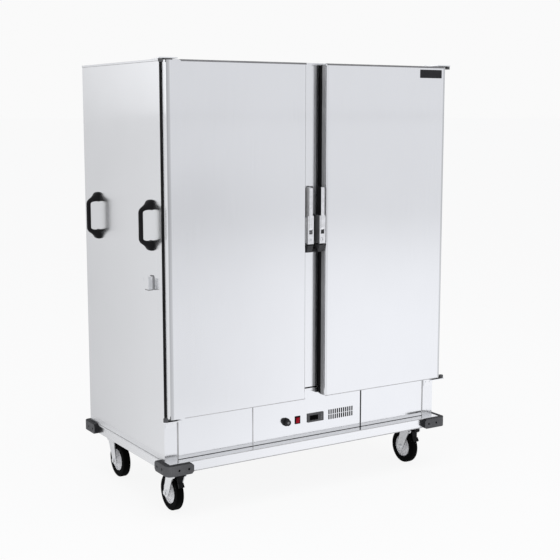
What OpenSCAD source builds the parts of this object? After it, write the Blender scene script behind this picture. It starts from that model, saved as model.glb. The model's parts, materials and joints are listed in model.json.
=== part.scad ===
// Heated banquet trolley with two doors, four swivel castors and a warm-air unit in its base.
// X runs to the right, the doors face -Y, Z is up and the floor is Z = 0.
// The origin is below the middle of the outer box, handles and bumpers included.

/* [Cabinet] */
// Width of the cabinet over its side panels
body_w = 1340; // [1320:1:1400]
// Depth of the cabinet behind its front face
body_d = 730; // [720:1:800]
// Height of the cabinet above the chassis
body_h = 1541; // [1500:1:1600]
// Steel sheet of skins and liners
sheet = 1.2; // [1:0.1:2]
// Height of the roof cover's folded rim
rim_h = 7; // [4:0.5:8]
// Height of the field pressed up in the roof cover
field_h = 3; // [2:0.5:6]
// Distance of that field from the cabinet's sides
field_in = 90; // [80:1:140]
// Width of the corner posts beside the lower panels
post_w = 57; // [50:1:70]
// Height of the lower panels
panel_h = 206; // [196:1:214]
// Width of the control panel
control_w = 542; // [500:1:560]
// Seam round each lower panel
seam = 1.6; // [1:0.1:3]
// Wider seam between the lower panels and the front frame
frame_seam = 6; // [4:0.5:8]
// Depth of the folded edges of the lower panels
fold_d = 14; // [10:1:20]
// Height of the plug rest above the chassis
rest_z = 668; // [600:1:700]
// Distance of the plug rest behind the front face
rest_in = 74; // [60:1:100]

/* [Bays] */
// Clear width of each bay
bay_w = 552; // [540:1:560]
// Side wall thickness, skin to liner
wall = 38; // [34:1:44]
// Height of the bay floor above the chassis
bay_floor = 246; // [238:1:266]
// Roof thickness, bay ceiling to the top
roof_t = 56; // [50:1:80]
// Back wall thickness
back_t = 46; // [40:1:60]
// Depth of the collar round each opening
collar_d = 20; // [15:1:30]
// Levels of runners in each bay
levels = 18; // [8:1:19]
// Height from one level of runners to the next
level_pitch = 63; // [55:1:64]
// Shelf width of a runner
shelf_w = 25; // [15:1:28]
// Height of a runner's upright leg
leg_h = 14; // [8:1:20]
// Length of a runner
runner_l = 650; // [560:5:650]

/* [Doors] */
// Gap between the two doors
door_gap = 98; // [90:1:110]
// Distance of the door edge from the cabinet side
door_inset = 3; // [2:0.5:6]
// Height of the door's lower edge above the chassis
door_low = 178; // [170:1:188]
// Distance of the door's top edge from the cabinet top
door_drop = 5; // [5:0.5:8]
// Depth of the outer tray of the door
skin_d = 25; // [20:1:34]
// Depth of the inner pan of the door
pan_d = 8; // [6:1:12]
// Thickness of the door gasket
gasket_t = 19; // [16:1:24]
// Width of the gasket strip
gasket_w = 25; // [18:1:26]
// Distance of the gasket from the door's top and bottom edge
gasket_inset = 3; // [2:0.5:5]
// Bulge of the gasket past the door's upright edges
gasket_proud = 3; // [0:0.5:3]
// Rounding of the door's front edges
door_r = 9; // [4:0.5:12]

/* [Hinges] */
// Distance of the hinge axis outside the cabinet side
pivot_out = 14; // [13:0.5:18]
// Distance of the hinge axis behind the door's front face
pivot_back = 10; // [9:0.5:14]
// Hinge pin diameter
pin_d = 10; // [8:0.5:12]
// Radial clearance of a turning fit
run_fit = 0.05; // [0.02:0.01:0.1]
// Thickness of the fixed hinge plates
plate_t = 4; // [3:0.5:5]
// Width of the fixed hinge plates, inwards from the cabinet side
plate_in = 50; // [44:1:60]
// Reach of the upper hinge plates behind the front face
plate_back = 70; // [60:1:80]
// Thickness of the moulded hinge leaves on the door
leaf_t = 4; // [3:0.5:4]

/* [Latches] */
// Width of the latch housing
latch_w = 28; // [26:1:30]
// Height of the latch housing
latch_h = 114.5; // [104:0.5:126]
// Height of the latch housing's lower end above the chassis
latch_low = 818; // [700:1:900]
// Distance of the lever, lock and bolt stem from the cabinet's middle
latch_c = 28.5; // [28:0.5:30]
// Distance of the latch housing's front in front of the door's face
latch_proud = 4; // [2:0.5:6]
// Width of the lever
lever_w = 16; // [10:1:18]
// Depth of the lever, front to back
lever_d = 31; // [26:1:32]
// Length of the lever from its pivot to its top
lever_l = 163; // [120:1:200]
// Bolt travel
bolt_travel = 5; // [4:0.5:6]
// Height of the bolt's black head
bolt_h = 30; // [24:1:40]
// Diameter of the lock cylinder
lock_d = 17; // [14:0.5:19]

/* [Chassis] */
// Height of the chassis rail
rail_h = 42; // [36:1:50]
// Distance of the front rail in front of the cabinet face
rail_out = 46; // [40:1:60]
// Wall of the chassis sections
rail_t = 3; // [2:0.5:4]
// Height of the side panels' lap over the chassis
side_lap = 8; // [4:1:12]
// Thickness of the corner bumpers
bumper_t = 22; // [16:1:26]
// Length of each bumper leg
bumper_l = 115; // [90:1:140]
// Rounding of the bumper's corner
bumper_r = 22; // [10:1:24]
// Chamfer at the bumper's ends
bumper_c = 9; // [6:1:14]

/* [Castors] */
// Height from the floor to the chassis
castor_h = 191; // [188:1:205]
// Tyre diameter
tyre_d = 150; // [140:1:152]
// Tyre width
tyre_w = 33; // [28:1:38]
// Rim seat diameter
rim_d = 108; // [96:1:120]
// Axle diameter
axle_d = 12; // [10:0.5:14]
// Offset of the axle behind the swivel axis
trail = 42; // [36:1:46]
// Distance of the swivel axis from the cabinet side
castor_in = 77; // [72:1:110]
// Distance of the swivel axis from the chassis end
castor_end = 96; // [92:1:130]
// Gap between the fork legs
fork_gap = 50; // [48:1:54]
// Thickness of the fork legs
fork_t = 4; // [3:0.5:5]

/* [Push handles] */
// Distance of the grip's centre from the side panel
grip_out = 52; // [45:1:60]
// Diameter of the grip
grip_d = 18; // [16:1:24]
// Height over the handle's feet
handle_h = 196; // [180:1:230]
// Length of the straight grip
grip_l = 115; // [100:1:140]
// Height of the handle's middle above the chassis
handle_z = 917; // [800:1:1000]
// Distance of the front handles behind the cabinet face
handle_front = 78; // [70:1:120]
// Distance of the rear handles behind the cabinet face
handle_rear = 591; // [540:1:650]

/* [Controls] */
// Height of the controls' centreline above the chassis
control_z = 78; // [70:1:90]
// Position of the dial from the middle of the panel
dial_x = -112; // [-120:1:-100]
// Diameter of the dial
dial_d = 34; // [32:1:44]
// Position of the rocker switch from the middle of the panel
rocker_x = -54; // [-60:1:-48]
// Position of the thermostat from the middle of the panel
thermo_x = 35; // [30:1:45]
// Width of the thermostat's frame
thermo_w = 80; // [76:1:84]
// Height of the thermostat's frame
thermo_h = 37; // [34:1:40]
// Left end of the vent from the middle of the panel
vent_x = 100; // [95:1:110]
// Slots in each vent row
vent_slots = 12; // [6:1:13]
// Slot pitch
vent_pitch = 10.9; // [9:0.1:12]
// Slot width
vent_slot_w = 5.6; // [4:0.1:7]
// Slot height
vent_slot_h = 18; // [14:0.5:19]

/* [Warm-air unit] */
// Diameter of the hole for the mains lead's gland
gland_d = 20.5; // [16:0.5:26]
// Diameter of the blower wheel
blower_d = 116; // [100:1:130]
// Height of the blower wheel
blower_h = 54; // [40:1:60]
// Blades on the blower wheel
blades = 16; // [8:1:20]
// Motor diameter
motor_d = 92; // [80:1:100]
// Height of the motor's can
motor_h = 74; // [60:1:80]
// Diameter of the heating rod
heater_d = 8.5; // [6:0.5:10]

/* [Hidden] */
$fn = 48;
eps = 0.01;
gap = 0.3;

// Heights
base_z = castor_h + rail_h;
top_z = base_z + body_h;
panel_top = base_z + panel_h;
deck_z = panel_top + frame_seam;
bay_z0 = base_z + bay_floor;
bay_z1 = top_z - roof_t;
bay_h = bay_z1 - bay_z0;
door_z0 = base_z + door_low;
door_z1 = top_z - door_drop;
door_h = door_z1 - door_z0;

// Depths, with the box's middle at Y = 0
door_reach = gasket_t + pan_d + skin_d;
front_reach = max(rail_out + bumper_t, door_reach);
rear_reach = bumper_t;
fy = (front_reach - rear_reach - body_d) / 2;
by = fy + body_d;
door_y = fy - door_reach;
pan_y = fy - gasket_t - pan_d;
bay_y1 = by - back_t;

// Widths
hw = body_w / 2;
bay_x0 = hw - wall;
bay_x1 = bay_x0 - bay_w;
door_x0 = hw - door_inset;
door_x1 = door_gap / 2;
door_w = door_x0 - door_x1;
service_x0 = hw - post_w;
pivot_x = hw + pivot_out;
pivot_y = door_y + pivot_back;

gland_x = hw - 170;

// Castors
tyre_r = tyre_d / 2;
castor_x = hw - castor_in;
castor_y0 = fy - rail_out + castor_end;
castor_y1 = by - castor_end;
swivel_z = castor_h - 18;
crown_t = 6;
king_d = 16;
pedal_y = -22;
pedal_z = swivel_z - 14;

// Draws the children as they are for the right side and mirrored for the left.
module on_side(s) {
    if (s < 0) mirror([1, 0, 0]) children();
    else children();
}

// A box from one corner to the opposite one.
module span(a, b) {
    translate(a) cube(b - a);
}

// A screw's round head, standing out of a face that looks along +Z.
module screw_head(d, h) {
    cylinder(d = d, h = h, $fn = 24);
}

// Point where a tangent from p touches the circle round c.
function tangent(p, c, r, side) =
    let (d = norm(c - p), a = atan2(c[1] - p[1], c[0] - p[0]), b = asin(r / d), l = sqrt(d * d - r * r))
    p + l * [cos(a + side * b), sin(a + side * b)];

// Chassis: a folded ring with a floor sheet, bottom lips and two cross members for the castors.
module chassis_frame() {
    lip = 28;
    beam = 150;
    color("silver") difference() {
        span([-hw, fy - rail_out, castor_h], [hw, by, base_z]);
        span([-hw + rail_t, fy - rail_out + rail_t, castor_h + rail_t],
             [hw - rail_t, by - rail_t, base_z - rail_t]);
        difference() {
            span([-hw + lip, fy - rail_out + lip, castor_h - 1],
                 [hw - lip, by - lip, castor_h + rail_t + eps]);
            for (y = [castor_y0, castor_y1])
                span([-hw, y - beam / 2, castor_h - 2], [hw, y + beam / 2, castor_h + rail_t + 1]);
        }
        for (s = [-1, 1]) on_side(s)
            span([hw - sheet, fy, base_z - side_lap], [hw + 1, by + 1, base_z + 1]);
        span([-hw - 1, by - sheet, base_z - side_lap], [hw + 1, by + 1, base_z + 1]);
    }
}

// Side panel with its folded front post, back return and the bent plug rest on its outside.
module side_panel(s) {
    z0 = base_z - side_lap;
    z1 = top_z - sheet;
    on_side(s) {
        span([hw - sheet, fy, z0], [hw, by, z1]);
        span([service_x0, fy, base_z], [hw, fy + sheet, panel_top]);
        span([bay_x0 + sheet, fy, panel_top - eps], [hw, fy + sheet, z1]);
        span([service_x0, fy, base_z], [service_x0 + sheet, fy + fold_d, panel_top]);
        plug_rest();
    }
}

// Bent steel rest where the mains plug is parked: a plate with a forward hook and a notch.
module plug_rest() {
    y0 = fy + rest_in;
    w = 74;
    z0 = base_z + rest_z;
    h = 53;
    t = 2;
    out = 22;
    difference() {
        union() {
            span([hw - eps, y0, z0], [hw + t, y0 + w, z0 + h]);
            span([hw, y0, z0], [hw + out, y0 + w, z0 + t]);
            span([hw + out - t, y0, z0], [hw + out, y0 + w, z0 + h * 0.8]);
        }
        translate([hw + out + 1, y0 + w * 0.44, z0 + h * 0.8])
            rotate([0, -90, 0]) cylinder(d = 22, h = out - 1, $fn = 32);
    }
}

// Back panel with two rows of folded vents behind the warm-air unit and a gland boss.
module back_panel() {
    z0 = base_z - side_lap;
    color("lightgray") difference() {
        union() {
            span([-hw + sheet, by - sheet, z0], [hw - sheet, by, top_z - sheet]);
            translate([gland_x, by - eps, base_z + 90]) rotate([-90, 0, 0]) cylinder(d = gland_d + 24, h = 5);
        }
        for (i = [0 : vent_slots - 1], j = [0, 1])
            translate([(i - (vent_slots - 1) / 2) * 2.4 * vent_pitch, by + 1, base_z + 70 + j * 50])
                rotate([90, 0, 0]) linear_extrude(sheet + 2) slot_shape(vent_slot_w, 34);
        translate([gland_x, by + 6, base_z + 90]) rotate([90, 0, 0]) cylinder(d = gland_d, h = sheet + 10);
    }
}

// Upright slot with round ends, centred.
module slot_shape(w, h) {
    square([w, h - w], center = true);
    for (s = [-1, 1]) translate([0, s * (h - w) / 2]) circle(d = w, $fn = 24);
}

// Roof cover: a sheet with a raised field and a rim folded down over the sides, back and front.
module top_cover() {
    color("silver") difference() {
        union() {
            span([-hw - sheet, fy - sheet, top_z - rim_h], [hw + sheet, by + sheet, top_z]);
            roof_field(0, top_z - eps, top_z + field_h);
        }
        span([-hw, fy, top_z - rim_h - 1], [hw, by, top_z - sheet]);
        roof_field(sheet, top_z - sheet - 1, top_z + field_h - sheet);
    }
}

// The roof field's block between two heights, drawn in by a distance all round.
module roof_field(in, z0, z1) {
    e = field_in + in;
    span([-hw + e, fy + e, z0], [hw - e, by - e, z1]);
}

// Front frame: sill, mullion and head in one face, collars round the openings and the deck below.
module front_frame() {
    color("silver") difference() {
        union() {
            span([-bay_x0 - sheet, fy, deck_z], [bay_x0 + sheet, fy + sheet, top_z - sheet]);
            span([-bay_x0 - sheet, fy, deck_z], [bay_x0 + sheet, by - sheet, deck_z + sheet]);
            for (s = [-1, 1]) on_side(s)
                span([bay_x1 - sheet, fy, bay_z0 - sheet], [bay_x0 + sheet, fy + collar_d, bay_z1 + sheet]);
        }
        for (s = [-1, 1]) on_side(s)
            span([bay_x1, fy - 1, bay_z0], [bay_x0, fy + collar_d + 1, bay_z1]);
        duct_well();
    }
}

// Space of the duct and of the heater's terminals in front of it.
module duct_well() {
    span([-duct_x, duct_y0, base_z], [duct_x, duct_y1, duct_z1]);
    span([-heater_half - 2, duct_y0 - heater_lead - 6, base_z],
         [heater_half + 2, duct_y0 + 1, heater_z + 30]);
}

air_rows = 9;
air_slot = [70, 9];

// Row heights of the air slots in the walls beside the duct.
function air_z(i) = bay_z0 + bay_h * (i + 1) / (air_rows + 1);

// Cuts one column of air slots through a wall that looks along X.
module air_slots(x, depth) {
    for (i = [0 : air_rows - 1], y = [0.35, 0.65])
        translate([x, fy + collar_d + (bay_y1 - fy - collar_d) * y, air_z(i)])
            cube([depth, air_slot[0], air_slot[1]], center = true);
}

// Bay liner: a five-sided box behind the collar, slotted on the side of the duct.
module bay_liner(s) {
    on_side(s) difference() {
        span([bay_x1 - sheet, fy + collar_d, bay_z0 - sheet],
             [bay_x0 + sheet, bay_y1 + sheet, bay_z1 + sheet]);
        span([bay_x1, fy + collar_d - 1, bay_z0], [bay_x0, bay_y1, bay_z1]);
        air_slots(bay_x1, 4 * sheet);
    }
}

duct_y0 = fy + 110;
duct_y1 = by - 130;
duct_x = bay_x1 - sheet;
motor_z0 = base_z + 12;
duct_z0 = motor_z0 + motor_h + 26;
duct_z1 = bay_z1 - 40;
blower_y = (duct_y0 + duct_y1) / 2;
blower_z = duct_z0 + sheet + 6;
shaft_d = 8;

// Air duct between the bays, with the blower's inlet ring in its floor and the heater's port.
module air_duct() {
    color("gainsboro") difference() {
        span([-duct_x, duct_y0, duct_z0], [duct_x, duct_y1, duct_z1]);
        span([-duct_x + sheet, duct_y0 + sheet, duct_z0 + sheet],
             [duct_x - sheet, duct_y1 - sheet, duct_z1 - sheet]);
        for (s = [-1, 1]) air_slots(s * duct_x, 4 * sheet);
        translate([0, blower_y, duct_z0 - 1]) cylinder(d = blower_d * 0.7, h = sheet + 2);
        for (i = [-heater_n : heater_n]) for (j = [-1, 1])
            translate([i * heater_step, duct_y0 - 1, heater_z + j * heater_r])
                rotate([-90, 0, 0]) cylinder(d = heater_d + 2 * gap, h = sheet + 2, $fn = 32);
    }
}

// Mineral wool between the skins and the liners: one block with three upright wells.
module insulation() {
    color("khaki") difference() {
        span([-hw + sheet, fy + collar_d, deck_z + sheet],
             [hw - sheet, by - sheet, top_z - sheet]);
        for (s = [-1, 1]) on_side(s)
            span([bay_x1 - sheet, fy + collar_d - 1, bay_z0 - sheet],
                 [bay_x0 + sheet, bay_y1 + sheet, bay_z1 + sheet]);
        duct_well();
    }
}

// Lower cover between x0 and x1: a flat face with edges folded back.
module lower_cover(x0, x1) {
    z0 = base_z + seam;
    z1 = panel_top;
    difference() {
        span([x0, fy, z0], [x1, fy + fold_d, z1]);
        span([x0 + sheet, fy + sheet, z0 + sheet], [x1 - sheet, fy + fold_d + 1, z1 - sheet]);
    }
}

// Removable covers to the left and right of the control panel.
module service_panels() {
    color("silver") for (s = [-1, 1]) on_side(s)
        lower_cover(control_w / 2 + seam / 2, service_x0 - seam);
}

rocker_w = 26;
rocker_h = 33;
vent_rows = 2;
vent_row_gap = 4.4;
dial_hole = 11;

// Control panel with the cut-outs for the controls and two rows of upright vent slots.
module control_panel() {
    zc = base_z + control_z;
    color("silver") difference() {
        lower_cover(-control_w / 2 + seam / 2, control_w / 2 - seam / 2);
        translate([dial_x, fy - 1, zc]) rotate([-90, 0, 0]) cylinder(d = dial_hole, h = sheet + 2);
        span([rocker_x - rocker_w / 2 + 2, fy - 1, zc - rocker_h / 2 + 2],
             [rocker_x + rocker_w / 2 - 2, fy + sheet + 1, zc + rocker_h / 2 - 2]);
        span([thermo_x - thermo_w / 2 + 4, fy - 1, zc - thermo_h / 2 + 3],
             [thermo_x + thermo_w / 2 - 4, fy + sheet + 1, zc + thermo_h / 2 - 3]);
        for (i = [0 : vent_slots - 1], j = [0 : vent_rows - 1])
            translate([vent_x + (i + 0.5) * vent_pitch, fy + sheet + 1,
                       zc + (j - 0.5) * (vent_slot_h + vent_row_gap)])
                rotate([90, 0, 0]) linear_extrude(sheet + 2) slot_shape(vent_slot_w, vent_slot_h);
    }
}

thermo_frame = 5;
button_d = 6;
button_pitch = 8.6;
button_x = thermo_x + thermo_w / 2 - 12;
button_out = 1.6;
button_travel = 1;

// Place of each thermostat button, from the top down.
function button_z(i) = base_z + control_z + (1 - i) * button_pitch;

// Thermostat: a flat frame with a sunk window, button bores and its case behind the panel.
module thermostat_case() {
    zc = base_z + control_z;
    color([0.12, 0.12, 0.13]) difference() {
        union() {
            span([thermo_x - thermo_w / 2, fy - thermo_frame, zc - thermo_h / 2],
                 [thermo_x + thermo_w / 2, fy, zc + thermo_h / 2]);
            span([thermo_x - thermo_w / 2 + 4 + gap, fy - eps, zc - thermo_h / 2 + 3 + gap],
                 [thermo_x + thermo_w / 2 - 4 - gap, fy + 58, zc + thermo_h / 2 - 3 - gap]);
        }
        span([thermo_x - thermo_w / 2 + 6, fy - thermo_frame - 1, zc - thermo_h / 2 + 6],
             [button_x - button_d / 2 - 5, fy - thermo_frame + 1.2, zc + thermo_h / 2 - 6]);
        for (i = [0 : 2]) translate([button_x, fy - thermo_frame - 1, button_z(i)])
            rotate([-90, 0, 0]) cylinder(d = button_d + 2 * run_fit, h = 8);
    }
}

// Thermostat button: a short plunger in its bore.
module button(i) {
    bore_end = fy - thermo_frame + 7;
    color("dimgray") translate([button_x, fy - thermo_frame - button_out, button_z(i)])
        rotate([-90, 0, 0]) cylinder(d = button_d, h = bore_end - button_travel - gap
            - (fy - thermo_frame - button_out));
}

rocker_tilt = 9;
rocker_axis_y = fy + 3;
rocker_r = 13.2;
rocker_in = 2.5;

// Switch bezel: a frame on the panel with a well behind it for the rocker.
module rocker_bezel() {
    zc = base_z + control_z;
    color([0.05, 0.05, 0.05]) difference() {
        union() {
            span([rocker_x - rocker_w / 2, fy - 2.4, zc - rocker_h / 2],
                 [rocker_x + rocker_w / 2, fy, zc + rocker_h / 2]);
            span([rocker_x - rocker_w / 2 + 2 + gap, fy - eps, zc - rocker_h / 2 + 2 + gap],
                 [rocker_x + rocker_w / 2 - 2 - gap, fy + 24, zc + rocker_h / 2 - 2 - gap]);
        }
        span([rocker_x - rocker_w / 2 + 2 + rocker_in, fy - 3, zc - rocker_h / 2 + 2.6],
             [rocker_x + rocker_w / 2 - 2 - rocker_in, fy + 19, zc + rocker_h / 2 - 2.6]);
        translate([rocker_x, rocker_axis_y, zc]) rotate([0, 90, 0])
            cylinder(r = 1.5 + run_fit, h = rocker_w - 6, center = true, $fn = 24);
    }
}

// Red rocker on its trunnions, shown with the lower half pressed.
module rocker() {
    zc = base_z + control_z;
    half = rocker_w / 2 - 2 - rocker_in - gap;
    color([0.7, 0.06, 0.12]) translate([rocker_x, rocker_axis_y, zc]) {
        rotate([rocker_tilt, 0, 0]) rotate([90, 0, 90]) linear_extrude(2 * half, center = true)
            polygon([[-7.4, -12], [-6, 0], [-7.4, 12], [0, 10.5], [6, 4], [6, -4], [0, -10.5]]);
        rotate([0, 90, 0]) cylinder(r = 1.5, h = 2 * half + 3, center = true, $fn = 24);
    }
}

spindle_d = 6;

// Regulator behind the panel: its case, threaded neck and nut; the dial turns on the neck.
module dial_regulator() {
    zc = base_z + control_z;
    color("dimgray") translate([dial_x, fy, zc]) rotate([-90, 0, 0]) {
        translate([0, 0, sheet]) cylinder(d = 30, h = 22);
        translate([0, 0, -7]) cylinder(d = dial_hole - 2 * gap, h = sheet + 7 + eps);
    }
}

// Dial: a round cap with a grip ridge and a pointer groove, on a bore over the neck.
module dial_knob() {
    zc = base_z + control_z;
    h = 21;
    ribs = 18;
    color([0.06, 0.06, 0.06]) translate([dial_x, fy - gap, zc]) rotate([90, 0, 0]) difference() {
        union() {
            cylinder(d = dial_d, h = 6);
            cylinder(d = dial_d - 8, h = h);
        }
        translate([0, 0, -1]) cylinder(d = dial_hole - 2 * gap + 2 * run_fit, h = 8.2);
        for (i = [0 : ribs - 1]) rotate([0, 0, i * 360 / ribs])
            translate([dial_d / 2 - 3.4, 0, 8]) cylinder(d = 2.6, h = h, $fn = 16);
        translate([-0.8, 4, h - 1]) cube([1.6, dial_d / 2, 2]);
    }
}

heater_r = 13;
heater_z = bay_z0 - 10;
heater_step = 34;
heater_n = floor((duct_x - sheet - heater_d / 2 - 6) / heater_step);
heater_half = heater_n * heater_step + 18;
heater_lead = 26;
heater_l = duct_y1 - duct_y0 - 230;

// Three hairpin rods that reach back into the duct from a flange on its front wall.
module heating_element() {
    color("dimgray") {
        for (i = [-heater_n : heater_n]) translate([i * heater_step, duct_y0 - heater_lead, heater_z]) {
            for (j = [-1, 1]) translate([0, 0, j * heater_r])
                rotate([-90, 0, 0]) cylinder(d = heater_d, h = heater_l, $fn = 24);
            translate([0, heater_l, 0]) rotate([90, 0, 90]) rotate([0, 0, -90])
                rotate_extrude(angle = 180, $fn = 36) translate([heater_r, 0]) circle(d = heater_d, $fn = 24);
        }
        span([-heater_half, duct_y0 - 3, heater_z - 28], [heater_half, duct_y0, heater_z + 28]);
    }
}

// Blower motor: a ribbed can on a foot plate, with the bearing bore for the shaft.
module blower_motor() {
    color("slategray") translate([0, blower_y, 0]) difference() {
        union() {
            span([-62, -62, base_z], [62, 62, base_z + 4]);
            for (a = [45 : 90 : 315]) rotate([0, 0, a]) translate([motor_d / 2 - 8, 0, base_z])
                cylinder(d = 10, h = motor_z0 - base_z + eps, $fn = 24);
            translate([0, 0, motor_z0]) cylinder(d = motor_d, h = motor_h);
            translate([0, 0, motor_z0 + motor_h - eps]) cylinder(d = 30, h = 8);
            for (a = [0 : 20 : 340]) rotate([0, 0, a])
                span([motor_d / 2 - 1, -1.2, motor_z0 + 12], [motor_d / 2 + 4, 1.2, motor_z0 + motor_h - 12]);
        }
        translate([0, 0, motor_z0 + 20]) cylinder(r = shaft_d / 2 + run_fit, h = motor_h);
    }
}

// Blower wheel: back plate, curved blades and front ring on the motor's shaft.
module blower_wheel() {
    r = blower_d / 2;
    color("gainsboro") translate([0, blower_y, blower_z]) {
        difference() {
            cylinder(r = r, h = 1.6);
            translate([0, 0, -1]) cylinder(r = r * 0.62, h = 4);
        }
        translate([0, 0, blower_h - 1.6]) cylinder(r = r, h = 1.6);
        for (i = [0 : blades - 1]) rotate([0, 0, i * 360 / blades])
            translate([r - 12, 0, 1.5]) rotate([0, 0, 35])
                translate([-9, -0.7, 0]) cube([18, 1.4, blower_h - 3]);
        translate([0, 0, motor_z0 + 24 - blower_z])
            cylinder(d = shaft_d, h = blower_z + blower_h - motor_z0 - 25);
    }
}

// Runner frames on both side walls of a bay: two uprights and the angle runners on each.
module rack(s) {
    upright_w = 26;
    upright_t = 2.4;
    leg_t = 1.6;
    z_first = bay_z0 + 48;
    z_last = z_first + (levels - 1) * level_pitch;
    y0 = fy + collar_d + 12;
    xm = bay_x0 - bay_w / 2;
    on_side(s) translate([xm, 0, 0]) for (w = [-1, 1]) on_side(w) {
        for (y = [y0 + 60, y0 + runner_l - 60 - upright_w])
            span([bay_w / 2 - upright_t, y, bay_z0], [bay_w / 2, y + upright_w, z_last + 40]);
        for (i = [0 : levels - 1]) translate([0, 0, z_first + i * level_pitch]) {
            span([bay_w / 2 - upright_t - leg_t, y0, 0], [bay_w / 2 - upright_t + eps, y0 + runner_l, leg_h]);
            span([bay_w / 2 - upright_t - shelf_w, y0, 0], [bay_w / 2 - upright_t, y0 + runner_l, leg_t]);
        }
    }
}

// Plan outline of a corner bumper with its outer corner rounded, the rail's corner at the origin.
module bumper_plan() {
    difference() {
        union() {
            translate([-bumper_l + bumper_t, -bumper_t]) square([bumper_l - bumper_r, bumper_t]);
            translate([0, -bumper_t + bumper_r]) square([bumper_t, bumper_l - bumper_r]);
            translate([bumper_t - bumper_r, -bumper_t + bumper_r]) circle(r = bumper_r);
        }
        translate([-bumper_l, 0]) square([bumper_l, bumper_l]);
    }
}

// One corner bumper for the corner at +X -Y, with chamfered ends and sunk screws.
module bumper() {
    end = bumper_l - bumper_t;
    difference() {
        linear_extrude(rail_h) bumper_plan();
        for (z = [0, rail_h]) {
            translate([-end, 0, z]) rotate([0, 45, 0])
                cube([bumper_c * sqrt(2), 3 * bumper_t, bumper_c * sqrt(2)], center = true);
            translate([0, end, z]) rotate([45, 0, 0])
                cube([3 * bumper_t, bumper_c * sqrt(2), bumper_c * sqrt(2)], center = true);
        }
        for (d = [22, 64]) {
            translate([-end + d, -bumper_t - 1, rail_h / 2]) rotate([-90, 0, 0])
                cylinder(d = 9, h = 11, $fn = 24);
            translate([bumper_t + 1, end - d, rail_h / 2]) rotate([0, -90, 0])
                cylinder(d = 9, h = 11, $fn = 24);
        }
    }
}

// Rubber bumpers round the four corners of the chassis.
module corner_bumpers() {
    color([0.3, 0.3, 0.31]) for (s = [-1, 1]) on_side(s) {
        translate([hw, fy - rail_out, castor_h]) bumper();
        translate([hw, by, castor_h]) mirror([0, 1, 0]) bumper();
    }
}

// One push handle on the right side: a round grip between two wedge feet.
module push_handle() {
    foot_w = 50;
    foot_h = (handle_h - grip_l) / 2;
    translate([0, 0, -grip_l / 2]) translate([grip_out, 0, 0]) cylinder(d = grip_d, h = grip_l, $fn = 32);
    for (m = [0, 1]) mirror([0, 0, m]) {
        hull() {
            translate([grip_out, 0, grip_l / 2 - grip_d * 0.8])
                cylinder(d = grip_d, h = grip_d * 0.8, $fn = 32);
            translate([0, -foot_w / 2, handle_h / 2 - foot_h]) cube([5, foot_w, foot_h * 0.5]);
            translate([0, -foot_w / 6, handle_h / 2 - foot_h]) cube([5, foot_w / 3, foot_h]);
        }
    }
}

// Four push handles, two on each side.
module push_handles() {
    color([0.07, 0.07, 0.07]) for (s = [-1, 1], y = [handle_front, handle_rear]) on_side(s)
        translate([hw, fy + y, base_z + handle_z]) push_handle();
}

lever_x = latch_c - lever_w / 2;
latch_y0 = door_y - latch_proud;
latch_y1 = pan_y + pan_d - gap;
lever_y0 = latch_y0 - 1;
lever_y1 = lever_y0 + lever_d;
lever_r = lever_d / 2;
latch_z0 = base_z + latch_low;
latch_z1 = latch_z0 + latch_h;
lever_pz = latch_z0 + 66;
lever_py = lever_y0 + lever_r;
bolt_z1 = latch_z0 - bolt_travel - gap;
bolt_z0 = bolt_z1 - bolt_h;
latch_x0 = latch_c - latch_w / 2;
latch_x1 = latch_x0 + latch_w;
stem_d = 10;
stem_y = latch_y1 - 8;
lock_z = latch_z0 + 17;
lock_l = 17;

// Black strike on the mullion, between and behind the two bolts.
module latch_keeper() {
    z0 = bolt_z0 + bolt_h * 0.01;
    z1 = bolt_z0 + bolt_h * 0.45;
    rib = latch_x0 - 1.5;
    side = door_x1 - gasket_proud - 4;
    color([0.08, 0.08, 0.08]) {
        span([-side, latch_y1 + gap, z0], [side, fy, z1]);
        span([-rib, door_y + 14, z0], [rib, fy - 1, z1]);
    }
}

// Latch housing beside the door's edge, notched for the lever and bored for bolt and lock.
module latch_body(s) {
    slot = lever_w + 2 * gap;
    x0 = lever_x - gap;
    on_side(s) difference() {
        union() {
            span([latch_x0, latch_y0, latch_z0], [latch_x1, latch_y1, latch_z1]);
            span([latch_x1 - eps, latch_y0 + 8, latch_z0 + 6], [door_x1, latch_y1, latch_z1 - 6]);
        }
        span([x0, lever_y0 - 1, lever_pz], [x0 + slot, lever_y1 + gap, latch_z1 + 1]);
        translate([x0, lever_py, lever_pz]) rotate([0, 90, 0]) cylinder(r = lever_r + gap, h = slot);
        span([x0, lever_y0 - 1, lever_pz - 26], [x0 + slot, latch_y0 + 12, lever_pz + eps]);
        translate([latch_c, stem_y, latch_z0 - 1]) cylinder(r = stem_d / 2 + run_fit, h = bolt_travel + 4);
        translate([latch_c, latch_y0 - 1, lock_z]) rotate([-90, 0, 0])
            cylinder(r = lock_d / 2 + run_fit, h = lock_l + 1 + gap);
    }
    on_side(s) translate([lever_x - 4, lever_py, lever_pz]) rotate([0, 90, 0])
        cylinder(d = 6, h = lever_w + 8, $fn = 24);
}

// Lever: a flat bar with a round lower end on the housing's pin and a rounded top.
module latch_lever(s) {
    top = lever_pz + lever_l;
    on_side(s) difference() {
        translate([lever_x, 0, 0]) rotate([90, 0, 90]) linear_extrude(lever_w) {
            translate([lever_py, lever_pz]) circle(r = lever_r);
            translate([lever_y0, lever_pz]) square([lever_d, lever_l - 8]);
            translate([lever_y0 + 8, lever_pz]) square([lever_d - 16, lever_l]);
            for (y = [lever_y0 + 8, lever_y1 - 8]) translate([y, top - 8]) circle(r = 8);
        }
        translate([lever_x - 1, lever_py, lever_pz]) rotate([0, 90, 0])
            cylinder(r = 3 + run_fit, h = lever_w + 2, $fn = 24);
    }
}

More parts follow.
